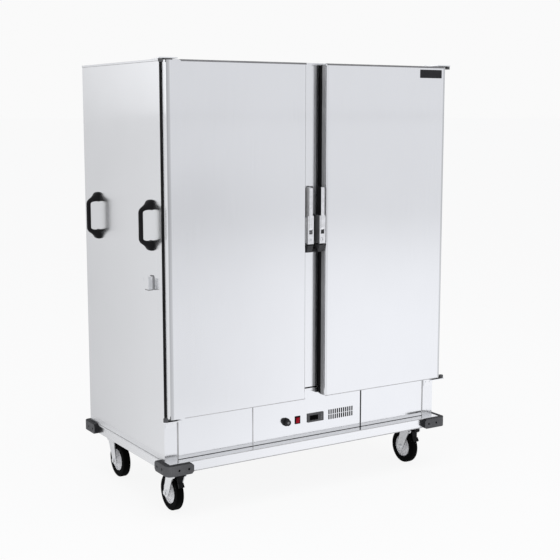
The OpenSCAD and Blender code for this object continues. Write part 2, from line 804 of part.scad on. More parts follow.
// Bolt: a black head under the housing, raked at the front, on a stem that rises with the lever.
module latch_bolt(s) {
    rake = 13;
    color([0.08, 0.08, 0.08]) on_side(s) {
        translate([latch_x0, 0, 0]) rotate([90, 0, 90]) linear_extrude(latch_w - 1)
            polygon([[latch_y0, bolt_z1], [latch_y1, bolt_z1], [latch_y1, bolt_z0],
                     [latch_y0 + rake, bolt_z0]]);
        translate([latch_c, stem_y, bolt_z1 - eps]) cylinder(d = stem_d, h = bolt_travel + gap + 2);
    }
}

// Lock cylinder with its key slot, in the housing's blind bore.
module lock(s) {
    on_side(s) translate([latch_c, latch_y0 - 1, lock_z]) rotate([-90, 0, 0]) difference() {
        cylinder(d = lock_d, h = lock_l + 1);
        translate([-0.9, -5, -1]) cube([1.8, 10, 9]);
    }
}

// Front tray of a door: a flat face with folded edges and rounded corners.
module door_skin(s) {
    on_side(s) {
        translate([door_x1, door_y, door_z0]) linear_extrude(door_h) difference() {
            tray_plan(door_w, skin_d, door_r);
            translate([sheet, sheet]) tray_plan(door_w - 2 * sheet, skin_d, door_r - sheet);
        }
        for (z = [door_z0, door_z1 - sheet]) translate([door_x1, door_y, z])
            linear_extrude(sheet) tray_plan(door_w, skin_d, door_r);
    }
}

// Plan of a tray that is open at the back, with its two front corners rounded.
module tray_plan(w, d, r) {
    translate([0, r]) square([w, d - r]);
    translate([r, 0]) square([w - 2 * r, d]);
    for (x = [r, w - r]) translate([x, r]) circle(r = r, $fn = 32);
}

// Inner pan of a door: a tray that closes the back, with a raised field pressed into it.
module door_pan(s) {
    y1 = fy - gasket_t;
    field = gasket_w + gasket_inset + 24;
    on_side(s) difference() {
        union() {
            span([door_x1, pan_y, door_z0], [door_x0, y1, door_z1]);
            span([door_x1 + field, y1 - eps, door_z0 + field], [door_x0 - field, y1 + 6, door_z1 - field]);
        }
        span([door_x1 + sheet, pan_y - 1, door_z0 + sheet], [door_x0 - sheet, y1 - sheet, door_z1 - sheet]);
        span([door_x1 + field + sheet, pan_y, door_z0 + field + sheet],
             [door_x0 - field - sheet, y1 + 6 - sheet, door_z1 - field - sheet]);
    }
}

// Gasket: a grooved ring between the door and the front frame.
module door_gasket(s) {
    y0 = fy - gasket_t;
    color([0.05, 0.05, 0.05]) on_side(s) difference() {
        gasket_block(0, y0, fy - gap);
        gasket_block(gasket_w, y0 - 1, fy + 1);
        difference() {
            gasket_block(-1, y0 + 7, y0 + 10);
            gasket_block(4, y0 + 6, y0 + 11);
        }
    }
}

// The gasket's outline between two depths, drawn in by a distance all round.
module gasket_block(in, y0, y1) {
    span([door_x1 - gasket_proud + in, y0, door_z0 + gasket_inset + in],
         [door_x0 + gasket_proud - in, y1, door_z1 - gasket_inset - in]);
}

boss_d = pin_d + 9;
boss_h = 12;

// Plan of a hinge leaf: from the door's corner out to the round eye.
module leaf_plan() {
    x0 = door_x0 - 28;
    difference() {
        union() {
            translate([x0, door_y + 3]) square([pivot_x - x0, pivot_back + boss_d / 2 - 3]);
            translate([pivot_x, pivot_y]) circle(d = boss_d);
        }
        translate([pivot_x, pivot_y - boss_d]) square([boss_d, boss_d - boss_d / 2 - eps]);
    }
}

// Moulded leaves at the top and bottom corner of a door, each with a bored eye outside the door.
module hinge_leaves(s) {
    color([0.07, 0.07, 0.07]) on_side(s) difference() {
        union() {
            translate([0, 0, door_z1]) linear_extrude(leaf_t) leaf_plan();
            translate([pivot_x, pivot_y, door_z1 + leaf_t - boss_h]) cylinder(d = boss_d, h = boss_h);
            translate([0, 0, door_z0 - leaf_t]) linear_extrude(leaf_t) leaf_plan();
            translate([pivot_x, pivot_y, door_z0 - leaf_t]) cylinder(d = boss_d, h = boss_h);
        }
        translate([pivot_x, pivot_y, door_z1 - boss_h]) cylinder(r = pin_d / 2 + run_fit, h = 2 * boss_h);
        translate([pivot_x, pivot_y, door_z0 - boss_h]) cylinder(r = pin_d / 2 + run_fit, h = 3 * boss_h);
    }
}

eye_d = pin_d + 16;

// Plan of a fixed plate: an eye round the pin and a tongue that runs back to y1.
module bracket_plan(x0, y1) {
    translate([pivot_x, pivot_y]) circle(d = eye_d);
    translate([x0, pivot_y - eye_d / 2]) square([pivot_x - x0, eye_d]);
    translate([x0, pivot_y]) square([hw - 4 - x0, y1 - pivot_y]);
}

// Fixed hinge plates with their pins: on the roof, and on the corner posts below the doors.
module hinge_brackets() {
    x0 = hw - plate_in;
    low_z = door_z0 - leaf_t - 1 - plate_t;
    color("gray") for (s = [-1, 1]) on_side(s) {
        translate([0, 0, top_z]) linear_extrude(plate_t) bracket_plan(x0, fy + plate_back);
        translate([pivot_x, pivot_y, door_z1 + leaf_t - boss_h + 2])
            cylinder(d = pin_d, h = top_z + plate_t - (door_z1 + leaf_t - boss_h + 2));
        for (x = [x0 + 12, hw - 16]) translate([x, fy + 0.6 * plate_back, top_z + plate_t - eps])
            screw_head(11, 2.6);
        translate([0, 0, low_z]) linear_extrude(plate_t) bracket_plan(x0, fy);
        translate([pivot_x, pivot_y, low_z]) cylinder(d = pin_d, h = plate_t + 1 + boss_h - 2);
        span([x0, fy - plate_t, low_z - 34], [hw - 4, fy, low_z + eps]);
        for (x = [x0 + 12, hw - 16]) translate([x, fy - plate_t + eps, low_z - 18]) rotate([90, 0, 0])
            screw_head(9, 2.2);
    }
}

plate_w = 106;
plate_l = 128;

// One castor plate: bolted plate, ball race housing and king pin with its nut.
module castor_plate() {
    translate([-plate_w / 2, -plate_l / 2, castor_h - 4]) cube([plate_w, plate_l, 4]);
    translate([0, 0, swivel_z + gap]) cylinder(d1 = 62, d2 = 74, h = castor_h - 4 - swivel_z - gap + eps);
    translate([0, 0, swivel_z - crown_t - gap - 9]) cylinder(d = king_d, h = 26);
    translate([0, 0, swivel_z - crown_t - gap - 9]) cylinder(d = 27, h = 9, $fn = 6);
    for (x = [-1, 1], y = [-1, 1]) translate([x * (plate_w / 2 - 14), y * (plate_l / 2 - 14), castor_h - 10])
        cylinder(d = 15, h = 6 + eps, $fn = 6);
}

// Fixed upper halves of the four castors, under the cross members.
module castor_plates() {
    color("lightgray") for (x = [-castor_x, castor_x], y = [castor_y0, castor_y1])
        translate([x, y, 0]) castor_plate();
}

// Side view of a fork leg, with Y to the right: from the crown down to a round end at the axle.
module fork_leg() {
    c = [trail, tyre_r];
    r = 19;
    a = [-24, swivel_z - crown_t];
    b = [34, swivel_z - crown_t];
    ta = tangent(a, c, r - 0.5, -1);
    tb = tangent(b, c, r - 0.5, 1);
    polygon([a, [-24, swivel_z], [34, swivel_z], b, tb, c, ta]);
    translate(c) circle(r = r);
    translate([pedal_y, pedal_z]) circle(r = 9);
    translate([pedal_y, pedal_z - 9]) square([-pedal_y, 18]);
}

// Fork of one castor, with its axle bolt: crown with a bored eye, two tapered legs.
module fork() {
    h = fork_gap / 2 + fork_t;
    color("lightgray") {
        difference() {
            union() {
                translate([0, 0, swivel_z - crown_t]) cylinder(d = 64, h = crown_t);
                span([-h, -24, swivel_z - crown_t], [h, 34, swivel_z]);
                for (x = [-h, h - fork_t]) translate([x, 0, 0]) rotate([90, 0, 90])
                    linear_extrude(fork_t) fork_leg();
            }
            translate([0, 0, swivel_z - crown_t - 1]) cylinder(r = king_d / 2 + run_fit, h = crown_t + 2);
            translate([-h - 1, pedal_y, pedal_z]) rotate([0, 90, 0])
                cylinder(r = 3 + run_fit, h = 2 * h + 2, $fn = 24);
        }
        translate([-h - 3, trail, tyre_r]) rotate([0, 90, 0]) cylinder(d = axle_d, h = 2 * h + 6);
        for (x = [-h - 8, h]) translate([x, trail, tyre_r]) rotate([0, 90, 0])
            cylinder(d = 21, h = 8, $fn = 6);
    }
}

hub_w = fork_gap - 1;

// Rim of one castor: bored hub, dished web and tyre seat.
module rim() {
    color("lightgray") translate([0, trail, tyre_r]) rotate([0, 90, 0]) rotate_extrude($fn = 64)
        difference() {
            union() {
                translate([axle_d / 2 + run_fit, -hub_w / 2]) square([11, hub_w]);
                translate([axle_d / 2 + 8, -5]) square([rim_d / 2 - axle_d / 2 - 8, 10]);
                translate([rim_d / 2 - 7, -tyre_w / 2 + 2]) square([7, tyre_w - 4]);
            }
            for (s = [-1, 1]) translate([(rim_d + axle_d) / 4 + 4, s * 5]) circle(r = 2.5, $fn = 16);
        }
}

// Tyre of one castor: a band with rounded shoulders on the rim's seat.
module tyre() {
    r = 7;
    color([0.03, 0.03, 0.03]) translate([0, trail, tyre_r]) rotate([0, 90, 0]) rotate_extrude($fn = 96) {
        translate([rim_d / 2, -tyre_w / 2]) square([tyre_r - r - rim_d / 2, tyre_w]);
        translate([rim_d / 2, -tyre_w / 2 + r]) square([tyre_r - rim_d / 2, tyre_w - 2 * r]);
        for (s = [-1, 1]) translate([tyre_r - r, s * (tyre_w / 2 - r)]) circle(r = r, $fn = 32);
    }
}

// Brake pedal between the fork legs: barrel with its pin, upturned tread, and the shoe on its arm.
module pedal() {
    w = 32;
    shoe_gap = 10.3;
    shoe_a = 150;
    reach = tyre_r + shoe_gap + 1;
    arm_y = trail - pedal_y + reach * cos(shoe_a) + 5.4 * sin(shoe_a);
    arm_z = pedal_z - tyre_r - reach * sin(shoe_a) + 5.4 * cos(shoe_a);
    color([0.05, 0.05, 0.05]) translate([0, pedal_y, pedal_z]) {
        rotate([0, 90, 0]) cylinder(d = 6, h = fork_gap + 2 * fork_t + 3, center = true, $fn = 24);
        rotate([0, 90, 0]) cylinder(d = 11, h = fork_gap - 2 * gap, center = true, $fn = 32);
        span([-w / 2, -17, -3.5], [w / 2, -1, 3.5]);
        translate([0, -15, 0]) rotate([8, 0, 0]) difference() {
            span([-w / 2 - 1, -5, -3.2], [w / 2 + 1, 1, 22]);
            for (i = [0 : 2]) translate([0, -5, 6 + 5 * i]) cube([w - 8, 2, 2], center = true);
        }
        rotate([atan2(arm_y, arm_z), 0, 0]) span([-14, -2.5, -norm([arm_y, arm_z])], [14, 2.5, -1]);
        translate([0, trail - pedal_y, tyre_r - pedal_z]) rotate([shoe_a, 0, 0])
            span([-tyre_w / 2, tyre_r + shoe_gap, -9], [tyre_w / 2, tyre_r + shoe_gap + 9, 9]);
    }
}

// Places the children at one castor; the front castors trail to the back and the rear ones forwards.
module at_castor(side, end) {
    translate([side * castor_x, end < 0 ? castor_y0 : castor_y1, 0])
        rotate([0, 0, end < 0 ? 0 : 180]) children();
}

chassis_frame();
color("silver") side_panel(-1);  // side_panel_left
color("silver") side_panel(1);  // side_panel_right
back_panel();
top_cover();
front_frame();
color("whitesmoke") bay_liner(-1);  // bay_liner_left
color("whitesmoke") bay_liner(1);  // bay_liner_right
air_duct();
insulation();
service_panels();
control_panel();
thermostat_case();
rocker_bezel();
dial_regulator();
heating_element();
blower_motor();
color("gainsboro") rack(-1);  // rack_left
color("gainsboro") rack(1);  // rack_right
corner_bumpers();
push_handles();
latch_keeper();
hinge_brackets();
castor_plates();
button(0);  // button_set
button(1);  // button_up
button(2);  // button_down
rocker();
dial_knob();
blower_wheel();
color("silver") door_skin(-1);  // door_skin_left
color("gainsboro") door_pan(-1);  // door_pan_left
door_gasket(-1);  // door_gasket_left
hinge_leaves(-1);  // hinge_leaves_left
color("gray") latch_body(-1);  // latch_body_left
color("lightgray") latch_lever(-1);  // latch_lever_left
latch_bolt(-1);  // latch_bolt_left
color("gainsboro") lock(-1);  // lock_left
color("silver") door_skin(1);  // door_skin_right
color("gainsboro") door_pan(1);  // door_pan_right
door_gasket(1);  // door_gasket_right
hinge_leaves(1);  // hinge_leaves_right
color("gray") latch_body(1);  // latch_body_right
color("lightgray") latch_lever(1);  // latch_lever_right
latch_bolt(1);  // latch_bolt_right
color("gainsboro") lock(1);  // lock_right
at_castor(-1, -1) fork();  // fork_front_left
at_castor(1, -1) fork();  // fork_front_right
at_castor(-1, 1) fork();  // fork_rear_left
at_castor(1, 1) fork();  // fork_rear_right
at_castor(-1, -1) rim();  // rim_front_left
at_castor(1, -1) rim();  // rim_front_right
at_castor(-1, 1) rim();  // rim_rear_left
at_castor(1, 1) rim();  // rim_rear_right
at_castor(-1, -1) tyre();  // tyre_front_left
at_castor(1, -1) tyre();  // tyre_front_right
at_castor(-1, 1) tyre();  // tyre_rear_left
at_castor(1, 1) tyre();  // tyre_rear_right
at_castor(-1, -1) pedal();  // pedal_left
at_castor(1, -1) pedal();  // pedal_right
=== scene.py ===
import json
import math

import bmesh
import bpy
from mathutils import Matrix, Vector

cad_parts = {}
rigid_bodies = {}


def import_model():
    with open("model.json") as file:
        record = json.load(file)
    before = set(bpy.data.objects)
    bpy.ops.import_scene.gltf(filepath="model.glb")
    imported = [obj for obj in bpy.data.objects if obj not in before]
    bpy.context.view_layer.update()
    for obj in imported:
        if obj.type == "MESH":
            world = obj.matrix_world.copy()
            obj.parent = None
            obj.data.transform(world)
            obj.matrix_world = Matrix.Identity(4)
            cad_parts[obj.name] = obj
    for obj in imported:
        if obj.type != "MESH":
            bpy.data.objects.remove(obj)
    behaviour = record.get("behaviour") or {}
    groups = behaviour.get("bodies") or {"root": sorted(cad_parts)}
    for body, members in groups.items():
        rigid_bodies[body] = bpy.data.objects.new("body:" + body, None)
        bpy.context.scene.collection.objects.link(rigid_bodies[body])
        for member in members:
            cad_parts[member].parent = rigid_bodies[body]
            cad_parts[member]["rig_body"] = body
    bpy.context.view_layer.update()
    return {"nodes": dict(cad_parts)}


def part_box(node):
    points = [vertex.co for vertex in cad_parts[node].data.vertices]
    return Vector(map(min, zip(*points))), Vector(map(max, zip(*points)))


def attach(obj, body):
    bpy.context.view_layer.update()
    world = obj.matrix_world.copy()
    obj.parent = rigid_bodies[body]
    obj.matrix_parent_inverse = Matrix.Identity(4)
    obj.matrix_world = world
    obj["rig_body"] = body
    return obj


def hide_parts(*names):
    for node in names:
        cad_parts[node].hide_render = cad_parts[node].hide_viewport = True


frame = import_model()
cad = frame["nodes"]
SIDES = {"left": -1, "right": 1}


# ---------------------------------------------------------------- camera
# The photographer stood to the left of the doors with a long lens, a little lower than the roof,
# and looked slightly down. The values come from the cabinet's own edges in the photograph.
camera_data = bpy.data.cameras.new("camera")
camera_data.sensor_width = 36
camera_data.lens = 71.99
camera_data.shift_x = 0.0054
camera_data.shift_y = -0.0073
camera = bpy.data.objects.new("camera", camera_data)
camera.location = (-2.5416, -4.1290, 1.5704)
camera.rotation_euler = (math.radians(90 - 8.21), 0, math.radians(-32.22))
bpy.context.scene.collection.objects.link(camera)
bpy.context.scene.camera = camera


# ---------------------------------------------------------------- studio
# A white cove: a pale floor that keeps the shadow, a soft room for the steel to mirror, brighter
# in front below the horizon and to the left above it, and one large lamp overhead.
def add(tree, kind, sockets=None, **settings):
    """A new node of a tree. A socket is given a value, or another node's output to link."""
    made = tree.nodes.new(kind)
    for name, value in settings.items():
        setattr(made, name, value)
    for key, value in (sockets or {}).items():
        if isinstance(value, bpy.types.NodeSocket):
            tree.links.new(value, made.inputs[key])
        else:
            made.inputs[key].default_value = value
    return made


def maths(tree, operation, a, b=0.0):
    """The output of a Math node."""
    return add(tree, "ShaderNodeMath", {0: a, 1: b}, operation=operation).outputs[0]


def ramp(tree, value, low, high, to_low=0.0, to_high=1.0):
    """The output of a smooth Map Range node."""
    return add(tree, "ShaderNodeMapRange",
               {"Value": value, "From Min": low, "From Max": high, "To Min": to_low, "To Max": to_high},
               interpolation_type="SMOOTHSTEP").outputs["Result"]


def blended(tree, share, first, second):
    """A number between two others."""
    return add(tree, "ShaderNodeMix", {0: share, 2: first, 3: second}, data_type="FLOAT").outputs[0]


def blended_tint(tree, share, first, second):
    """A colour between two others."""
    return add(tree, "ShaderNodeMix", {0: share, 6: first, 7: second}, data_type="RGBA").outputs[2]


def seen_directly(tree):
    """1 for rays from the camera and 0 for the others."""
    return add(tree, "ShaderNodeLightPath").outputs["Is Camera Ray"]


# how bright the backdrop and the floor look to the camera, and the room overhead and below
PAPER = 0.955
SHOWN_FLOOR = 0.89
OVERHEAD = 0.80
BELOW = 0.72
COOL = (0.985, 0.996, 1.035, 1)
PALE = (0.992, 0.998, 1.020, 1)


def toned(tree, where, stops):
    """A value that runs smoothly through (place, value) stops."""
    out = stops[0][1]
    for (start, _), (end, value) in zip(stops, stops[1:]):
        out = add(tree, "ShaderNodeMapRange",
                  {"Value": where, "From Min": start, "From Max": end, "To Min": out, "To Max": value},
                  interpolation_type="SMOOTHSTEP").outputs["Result"]
    return out


world = bpy.data.worlds.new("studio")
bpy.context.scene.world = world
world.use_nodes = True
tree = world.node_tree
tree.nodes.clear()
look = add(tree, "ShaderNodeSeparateXYZ", {0: add(tree, "ShaderNodeTexCoord").outputs["Generated"]})
in_front = toned(tree, look.outputs["X"], [(0.40, 0.765), (0.62, 0.83)])
at_back = toned(tree, look.outputs["X"], [(-0.49, 1.20), (-0.35, 0.54), (0.4, 0.90)])
at_back = maths(tree, "MULTIPLY", at_back, ramp(tree, look.outputs["Z"], 0.0, 0.05, 0.96, 1.04))
rear = ramp(tree, look.outputs["Y"], -0.3, 0.3)
room = blended(tree, rear, in_front, at_back)
room = blended(tree, ramp(tree, look.outputs["Z"], 0.15, 0.8), room, OVERHEAD)
above = maths(tree, "GREATER_THAN", look.outputs["Z"], 0.0)
room = blended(tree, above, BELOW, room)
strength = blended(tree, seen_directly(tree), room, PAPER)
tint = blended_tint(tree, rear, COOL, PALE)
tint = blended_tint(tree, seen_directly(tree), tint, (1, 1, 1, 1))
background = add(tree, "ShaderNodeBackground", {"Color": tint, "Strength": strength})
add(tree, "ShaderNodeOutputWorld", {"Surface": background.outputs[0]})

floor_mesh = bpy.data.meshes.new("floor")
FAR = 400
floor_mesh.from_pydata([(-FAR, -FAR, 0), (FAR, -FAR, 0), (FAR, FAR, 0), (-FAR, FAR, 0)], [], [(0, 1, 2, 3)])
floor = bpy.data.objects.new("floor", floor_mesh)
bpy.context.scene.collection.objects.link(floor)
paper = bpy.data.materials.new("paper floor")
paper.use_nodes = True
tree = paper.node_tree
tree.nodes.clear()
place = add(tree, "ShaderNodeTexCoord").outputs["Object"]
spot = add(tree, "ShaderNodeSeparateXYZ", {0: place})
# What the doors mirror: paler close by and to the right. What the left side mirrors: paler ahead.
# Mirrored in the doors, the camera stands at DOOR_EYE_Y; mirrored in the left side, at SIDE_EYE_X.
EYE_X, EYE_Y = -2.54, -4.13
DOOR_EYE_Y, SIDE_EYE_X = 3.35, 1.20
away = add(tree, "ShaderNodeVectorMath", {0: place, 1: (EYE_X, DOOR_EYE_Y, 0.0)},
           operation="DISTANCE").outputs["Value"]
turn = maths(tree, "DIVIDE", maths(tree, "SUBTRACT", spot.outputs["X"], EYE_X),
             maths(tree, "SUBTRACT", DOOR_EYE_Y, spot.outputs["Y"]))
left = toned(tree, away, [(5.0, 0.92), (6.4, 0.85), (17.0, 0.695), (40.0, 0.765)])
right = toned(tree, away, [(5.0, 1.03), (7.6, 1.02), (19.0, 0.83), (40.0, 0.83)])
ahead = blended(tree, ramp(tree, turn, 0.48, 0.72), left, right)
turn = maths(tree, "DIVIDE", maths(tree, "SUBTRACT", SIDE_EYE_X, spot.outputs["X"]),
             maths(tree, "SUBTRACT", spot.outputs["Y"], EYE_Y))
aside = toned(tree, turn, [(0.37, 0.61), (0.53, 0.86), (1.4, 0.9)])
beside = ramp(tree, spot.outputs["Y"], -0.9, -0.2)
mirrored = blended(tree, beside, ahead, aside)
# painted shadow: the floor that the steel mirrors is a little darker under the trolley, for its shadow there
across = ramp(tree, maths(tree, "ABSOLUTE", spot.outputs["X"]), 0.50, 0.78, 1.0, 0.0)
along = ramp(tree, maths(tree, "ABSOLUTE", spot.outputs["Y"]), 0.22, 0.50, 1.0, 0.0)
shade = maths(tree, "SUBTRACT", 1.0, maths(tree, "MULTIPLY", maths(tree, "MULTIPLY", across, along), 0.15))
mirrored = maths(tree, "MULTIPLY", mirrored, shade)
tint = blended_tint(tree, beside, COOL, PALE)
matte = add(tree, "ShaderNodeBsdfDiffuse", {"Color": (0.07, 0.07, 0.07, 1)})
shown = add(tree, "ShaderNodeEmission", {"Strength": SHOWN_FLOOR})
shown_floor = add(tree, "ShaderNodeAddShader", {0: matte.outputs[0], 1: shown.outputs[0]})
far_floor = add(tree, "ShaderNodeEmission", {"Color": tint, "Strength": mirrored})
bounced = add(tree, "ShaderNodeBsdfDiffuse", {"Color": (0.7, 0.7, 0.7, 1)})
glossy = add(tree, "ShaderNodeLightPath").outputs["Is Glossy Ray"]
other = add(tree, "ShaderNodeMixShader", {0: glossy, 1: bounced.outputs[0], 2: far_floor.outputs[0]})
final = add(tree, "ShaderNodeMixShader",
            {0: seen_directly(tree), 1: other.outputs[0], 2: shown_floor.outputs[0]})
add(tree, "ShaderNodeOutputMaterial", {"Surface": final.outputs[0]})
floor_mesh.materials.append(paper)


def lamp(name, place, size, power, aim):
    """A square soft box that points at a spot."""
    data = bpy.data.lights.new(name, "AREA")
    data.size = size
    data.energy = power
    made = bpy.data.objects.new(name, data)
    made.location = place
    made.rotation_euler = (Vector(aim) - Vector(place)).to_track_quat("-Z", "Y").to_euler()
    made.visible_glossy = False
    bpy.context.scene.collection.objects.link(made)
    return made


lamp("overhead soft box", (-1.0, -1.5, 5.0), 4.0, 120, (0, 0, 0.8))
lamp("front soft box", (1.5, -5.5, 3.2), 3.0, 45, (0, 0, 0.9))
lamp("low fill", (-3.2, -3.4, 0.45), 1.4, 26, (0, -0.1, 0.12))


# ---------------------------------------------------------------- sheet steel
# Stainless sheet with a fine brushed grain, folded on a press: doors, sides, covers and roof. The
# broad sheets are never quite flat, so their reflections wander a little. The lowest edge is dull
# with splashes, and on the doors' rounded corner by the hinges the colour is darker: painted shade.
def finish(name):
    """A new material with its node tree and Principled shader."""
    made = bpy.data.materials.new(name)
    made.use_nodes = True
    return made, made.node_tree, made.node_tree.nodes["Principled BSDF"]


def grain_of(tree, scale, detail=3.0, seed=(0, 0, 0)):
    """Noise stretched along the axis whose scale is smallest, on Object coordinates in metres."""
    place = add(tree, "ShaderNodeTexCoord").outputs["Object"]
    stretched = add(tree, "ShaderNodeMapping", {"Vector": place, "Scale": scale, "Location": seed})
    return add(tree, "ShaderNodeTexNoise",
               {"Vector": stretched.outputs[0], "Scale": 1.0, "Detail": detail}).outputs["Fac"]


def spot_of(tree):
    """The X, Y and Z of a point on the trolley, in metres."""
    return add(tree, "ShaderNodeSeparateXYZ", {0: add(tree, "ShaderNodeTexCoord").outputs["Object"]}).outputs


def tinted(tree, value, dark, light):
    """A colour between two, chosen by a value from 0 to 1."""
    return blended_tint(tree, value, (*dark, 1), (*light, 1))


def bumped(tree, value, distance, strength=1.0, under=None):
    """The normal of a bump, over another one if given."""
    sockets = {"Height": value, "Distance": distance, "Strength": strength}
    if under is not None:
        sockets["Normal"] = under
    return add(tree, "ShaderNodeBump", sockets).outputs[0]


def brushed(name, along, tint, rough, waviness=0.0002, painted_corner_shade=None, foot=None):
    """Brushed stainless sheet whose scratches run along X, Y or Z."""
    made, tree, shader = finish(name)
    fine = [1400.0, 1400.0, 1400.0]
    fine["XYZ".index(along)] = 9.0
    scratch = grain_of(tree, fine, 4.0)
    smudge = grain_of(tree, (3.1, 3.1, 3.1), 2.0, (7, 3, 5))
    tone = maths(tree, "ADD", maths(tree, "MULTIPLY", scratch, 0.6), maths(tree, "MULTIPLY", smudge, 0.4))
    dark = [c * 0.975 for c in tint]
    light = [min(1.0, c * 1.02) for c in tint]
    shader.inputs["Metallic"].default_value = 1.0
    colour = tinted(tree, ramp(tree, tone, 0.3, 0.7), dark, light)
    dull = ramp(tree, tone, 0.25, 0.75, rough - 0.02, rough + 0.03)
    if foot:
        # splashes from the floor leave the lowest finger's breadth dull
        splashed = ramp(tree, spot_of(tree)["Z"], foot_z, foot_z + 0.035, foot, 0.0)
        dull = maths(tree, "ADD", dull, splashed)
    tree.links.new(dull, shader.inputs["Roughness"])
    sheet = bumped(tree, grain_of(tree, (2.3, 2.3, 1.5), 1.0, (1, 9, 4)), waviness)
    tree.links.new(bumped(tree, scratch, 0.000004, 0.5, sheet), shader.inputs["Normal"])
    if painted_corner_shade:
        # painted shade: darker colour over the rounded corner by the hinges, for its darker reflection
        corner = toned(tree, maths(tree, "ABSOLUTE", spot_of(tree)["X"]), painted_corner_shade)
        colour = add(tree, "ShaderNodeVectorMath", {0: colour, 3: corner}, operation="SCALE").outputs[0]
    tree.links.new(colour, shader.inputs["Base Color"])
    if along == "Z":
        # light spreads across the upright scratches and stays sharp along them
        shader.inputs["Anisotropic"].default_value = 0.95
        shader.inputs["Anisotropic Rotation"].default_value = 0.25
        tree.links.new(add(tree, "ShaderNodeCombineXYZ", {"Z": 1.0}).outputs[0], shader.inputs["Tangent"])
    return made


def dress(material, *nodes):
    """Gives CAD nodes a material in place of their plain one."""
    for name in nodes:
        for slot in cad[name].material_slots:
            slot.material = material


def softened(node, width, segments=3, bend=35, edge_slot=-1, pick=None, inner=True):
    """A copy of a CAD node with its sharp edges rounded, or those picked, which replaces the node."""
    mesh = cad[node].data.copy()
    mesh.name = node + "_soft"
    shape = bmesh.new()
    shape.from_mesh(mesh)
    bmesh.ops.remove_doubles(shape, verts=shape.verts, dist=0.00002)
    bmesh.ops.dissolve_limit(shape, angle_limit=math.radians(1.0), verts=shape.verts, edges=shape.edges)
    sharp = [e for e in shape.edges if len(e.link_faces) == 2 and e.calc_face_angle(0) > math.radians(bend)
             and (inner or e.is_convex) and (pick is None or pick(*(v.co for v in e.verts)))]
    bmesh.ops.bevel(shape, geom=sharp, offset=width, segments=segments, profile=0.5, affect="EDGES",
                    clamp_overlap=True, miter_outer="ARC", material=edge_slot)
    shape.to_mesh(mesh)
    shape.free()
    rounded(mesh)
    made = bpy.data.objects.new(mesh.name, mesh)
    bpy.context.scene.collection.objects.link(made)
    even = made.modifiers.new("flat faces stay flat", "WEIGHTED_NORMAL")
    even.keep_sharp = True
    ready = made.evaluated_get(bpy.context.evaluated_depsgraph_get())
    made.data = bpy.data.meshes.new_from_object(ready)
    made.modifiers.clear()
    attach(made, cad[node]["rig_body"])
    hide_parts(node)
    return made


def rounded(mesh, bend=32):
    """Smooth shading, with edges sharper than an angle kept crisp."""
    mesh.polygons.foreach_set("use_smooth", [True] * len(mesh.polygons))
    mesh.set_sharp_from_angle(angle=math.radians(bend))
    mesh.update()


def picked(piece, material, choose):
    """Another material on the faces that a test on centre and normal picks out."""
    piece.data.materials.append(material)
    last = len(piece.data.materials) - 1
    for face in piece.data.polygons:
        if choose(face.center, face.normal):
            face.material_index = last


def wear(piece, material, edges=None):
    """Gives a scene piece its material, and another one on its rounded edges."""
    on_edges = [int(edges is not None and face.material_index == 1) for face in piece.data.polygons]
    piece.data.materials.clear()
    for each in (material, edges):
        if each is not None:
            piece.data.materials.append(each)
    piece.data.polygons.foreach_set("material_index", on_edges)
    return piece


STEEL = (0.86, 0.865, 0.875)
foot_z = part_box("chassis_frame")[1].z
skin_steel = brushed("brushed sheet upright", "Z", STEEL, 0.10, foot=0.08)
side_steel = brushed("brushed sheet sides", "Z", STEEL, 0.14, foot=0.28)
roof_steel = brushed("brushed sheet roof", "Y", STEEL, 0.25)
# only the edges above the fold of the roof are rounded
fold_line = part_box("top_cover")[1].z - 0.0031
roof = softened("top_cover", 0.0022, bend=60, pick=lambda a, b: (
    a.z > fold_line and b.z > fold_line and abs(a.z - b.z) < 0.0001))
wear(roof, roof_steel)
dress(side_steel, "side_panel_left", "side_panel_right")
dress(skin_steel, "back_panel", "front_frame", "service_panels", "control_panel")
# painted shade darkens the last centimetre and a half before the hinge side of each door
door_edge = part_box("door_skin_right")[1].x
door_steel = brushed("brushed sheet doors", "Z", STEEL, 0.10, painted_corner_shade=[
    (door_edge - 0.0150, 1.0), (door_edge - 0.0120, 0.76),
    (door_edge - 0.0016, 0.62), (door_edge - 0.0003, 1.0)])
dress(door_steel, "door_skin_left", "door_skin_right")


# ---------------------------------------------------------------- liners and runners
# The inside is the same steel with the mill's dull finish: two seamless liners, the duct between
# them, the doors' inner pans and the runner frames that hang on the liner walls.
mill_steel = brushed("mill finish sheet", "Z", (0.74, 0.745, 0.75), 0.42, 0.0008)
runner_steel = brushed("runner steel", "Y", (0.76, 0.765, 0.77), 0.36)
dress(mill_steel, "bay_liner_left", "bay_liner_right", "air_duct", "door_pan_left", "door_pan_right")
dress(runner_steel, "rack_left", "rack_right")


# ---------------------------------------------------------------- chassis
# A ring folded from heavier sheet with the floor in it. Its front ledge stands out in front of
# the cabinet between the two front bumpers.
ledge_steel = brushed("brushed sheet level", "X", (0.90, 0.903, 0.910), 0.22)
ring_low, ring_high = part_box("chassis_frame")
# an edge this close to a face of the ring's box lies in it
CLOSE = 0.0001
ring = softened("chassis_frame", 0.0025, bend=60, pick=lambda a, b: (
    max(a.y, b.y) < ring_low.y + CLOSE
    or (max(a.z, b.z) < ring_low.z + CLOSE and min(abs(a.x), abs(b.x)) > ring_high.x - CLOSE)))
wear(ring, ledge_steel)


# ---------------------------------------------------------------- mineral wool
# Yellow rock wool behind the liners, never seen with the cabinet closed.
wool, tree, shader = finish("mineral wool")
fibre = grain_of(tree, (90.0, 90.0, 260.0), 6.0)
tree.links.new(tinted(tree, fibre, (0.42, 0.33, 0.12), (0.78, 0.68, 0.34)), shader.inputs["Base Color"])
tree.links.new(bumped(tree, fibre, 0.004), shader.inputs["Normal"])
shader.inputs["Roughness"].default_value = 0.95
dress(wool, "insulation")
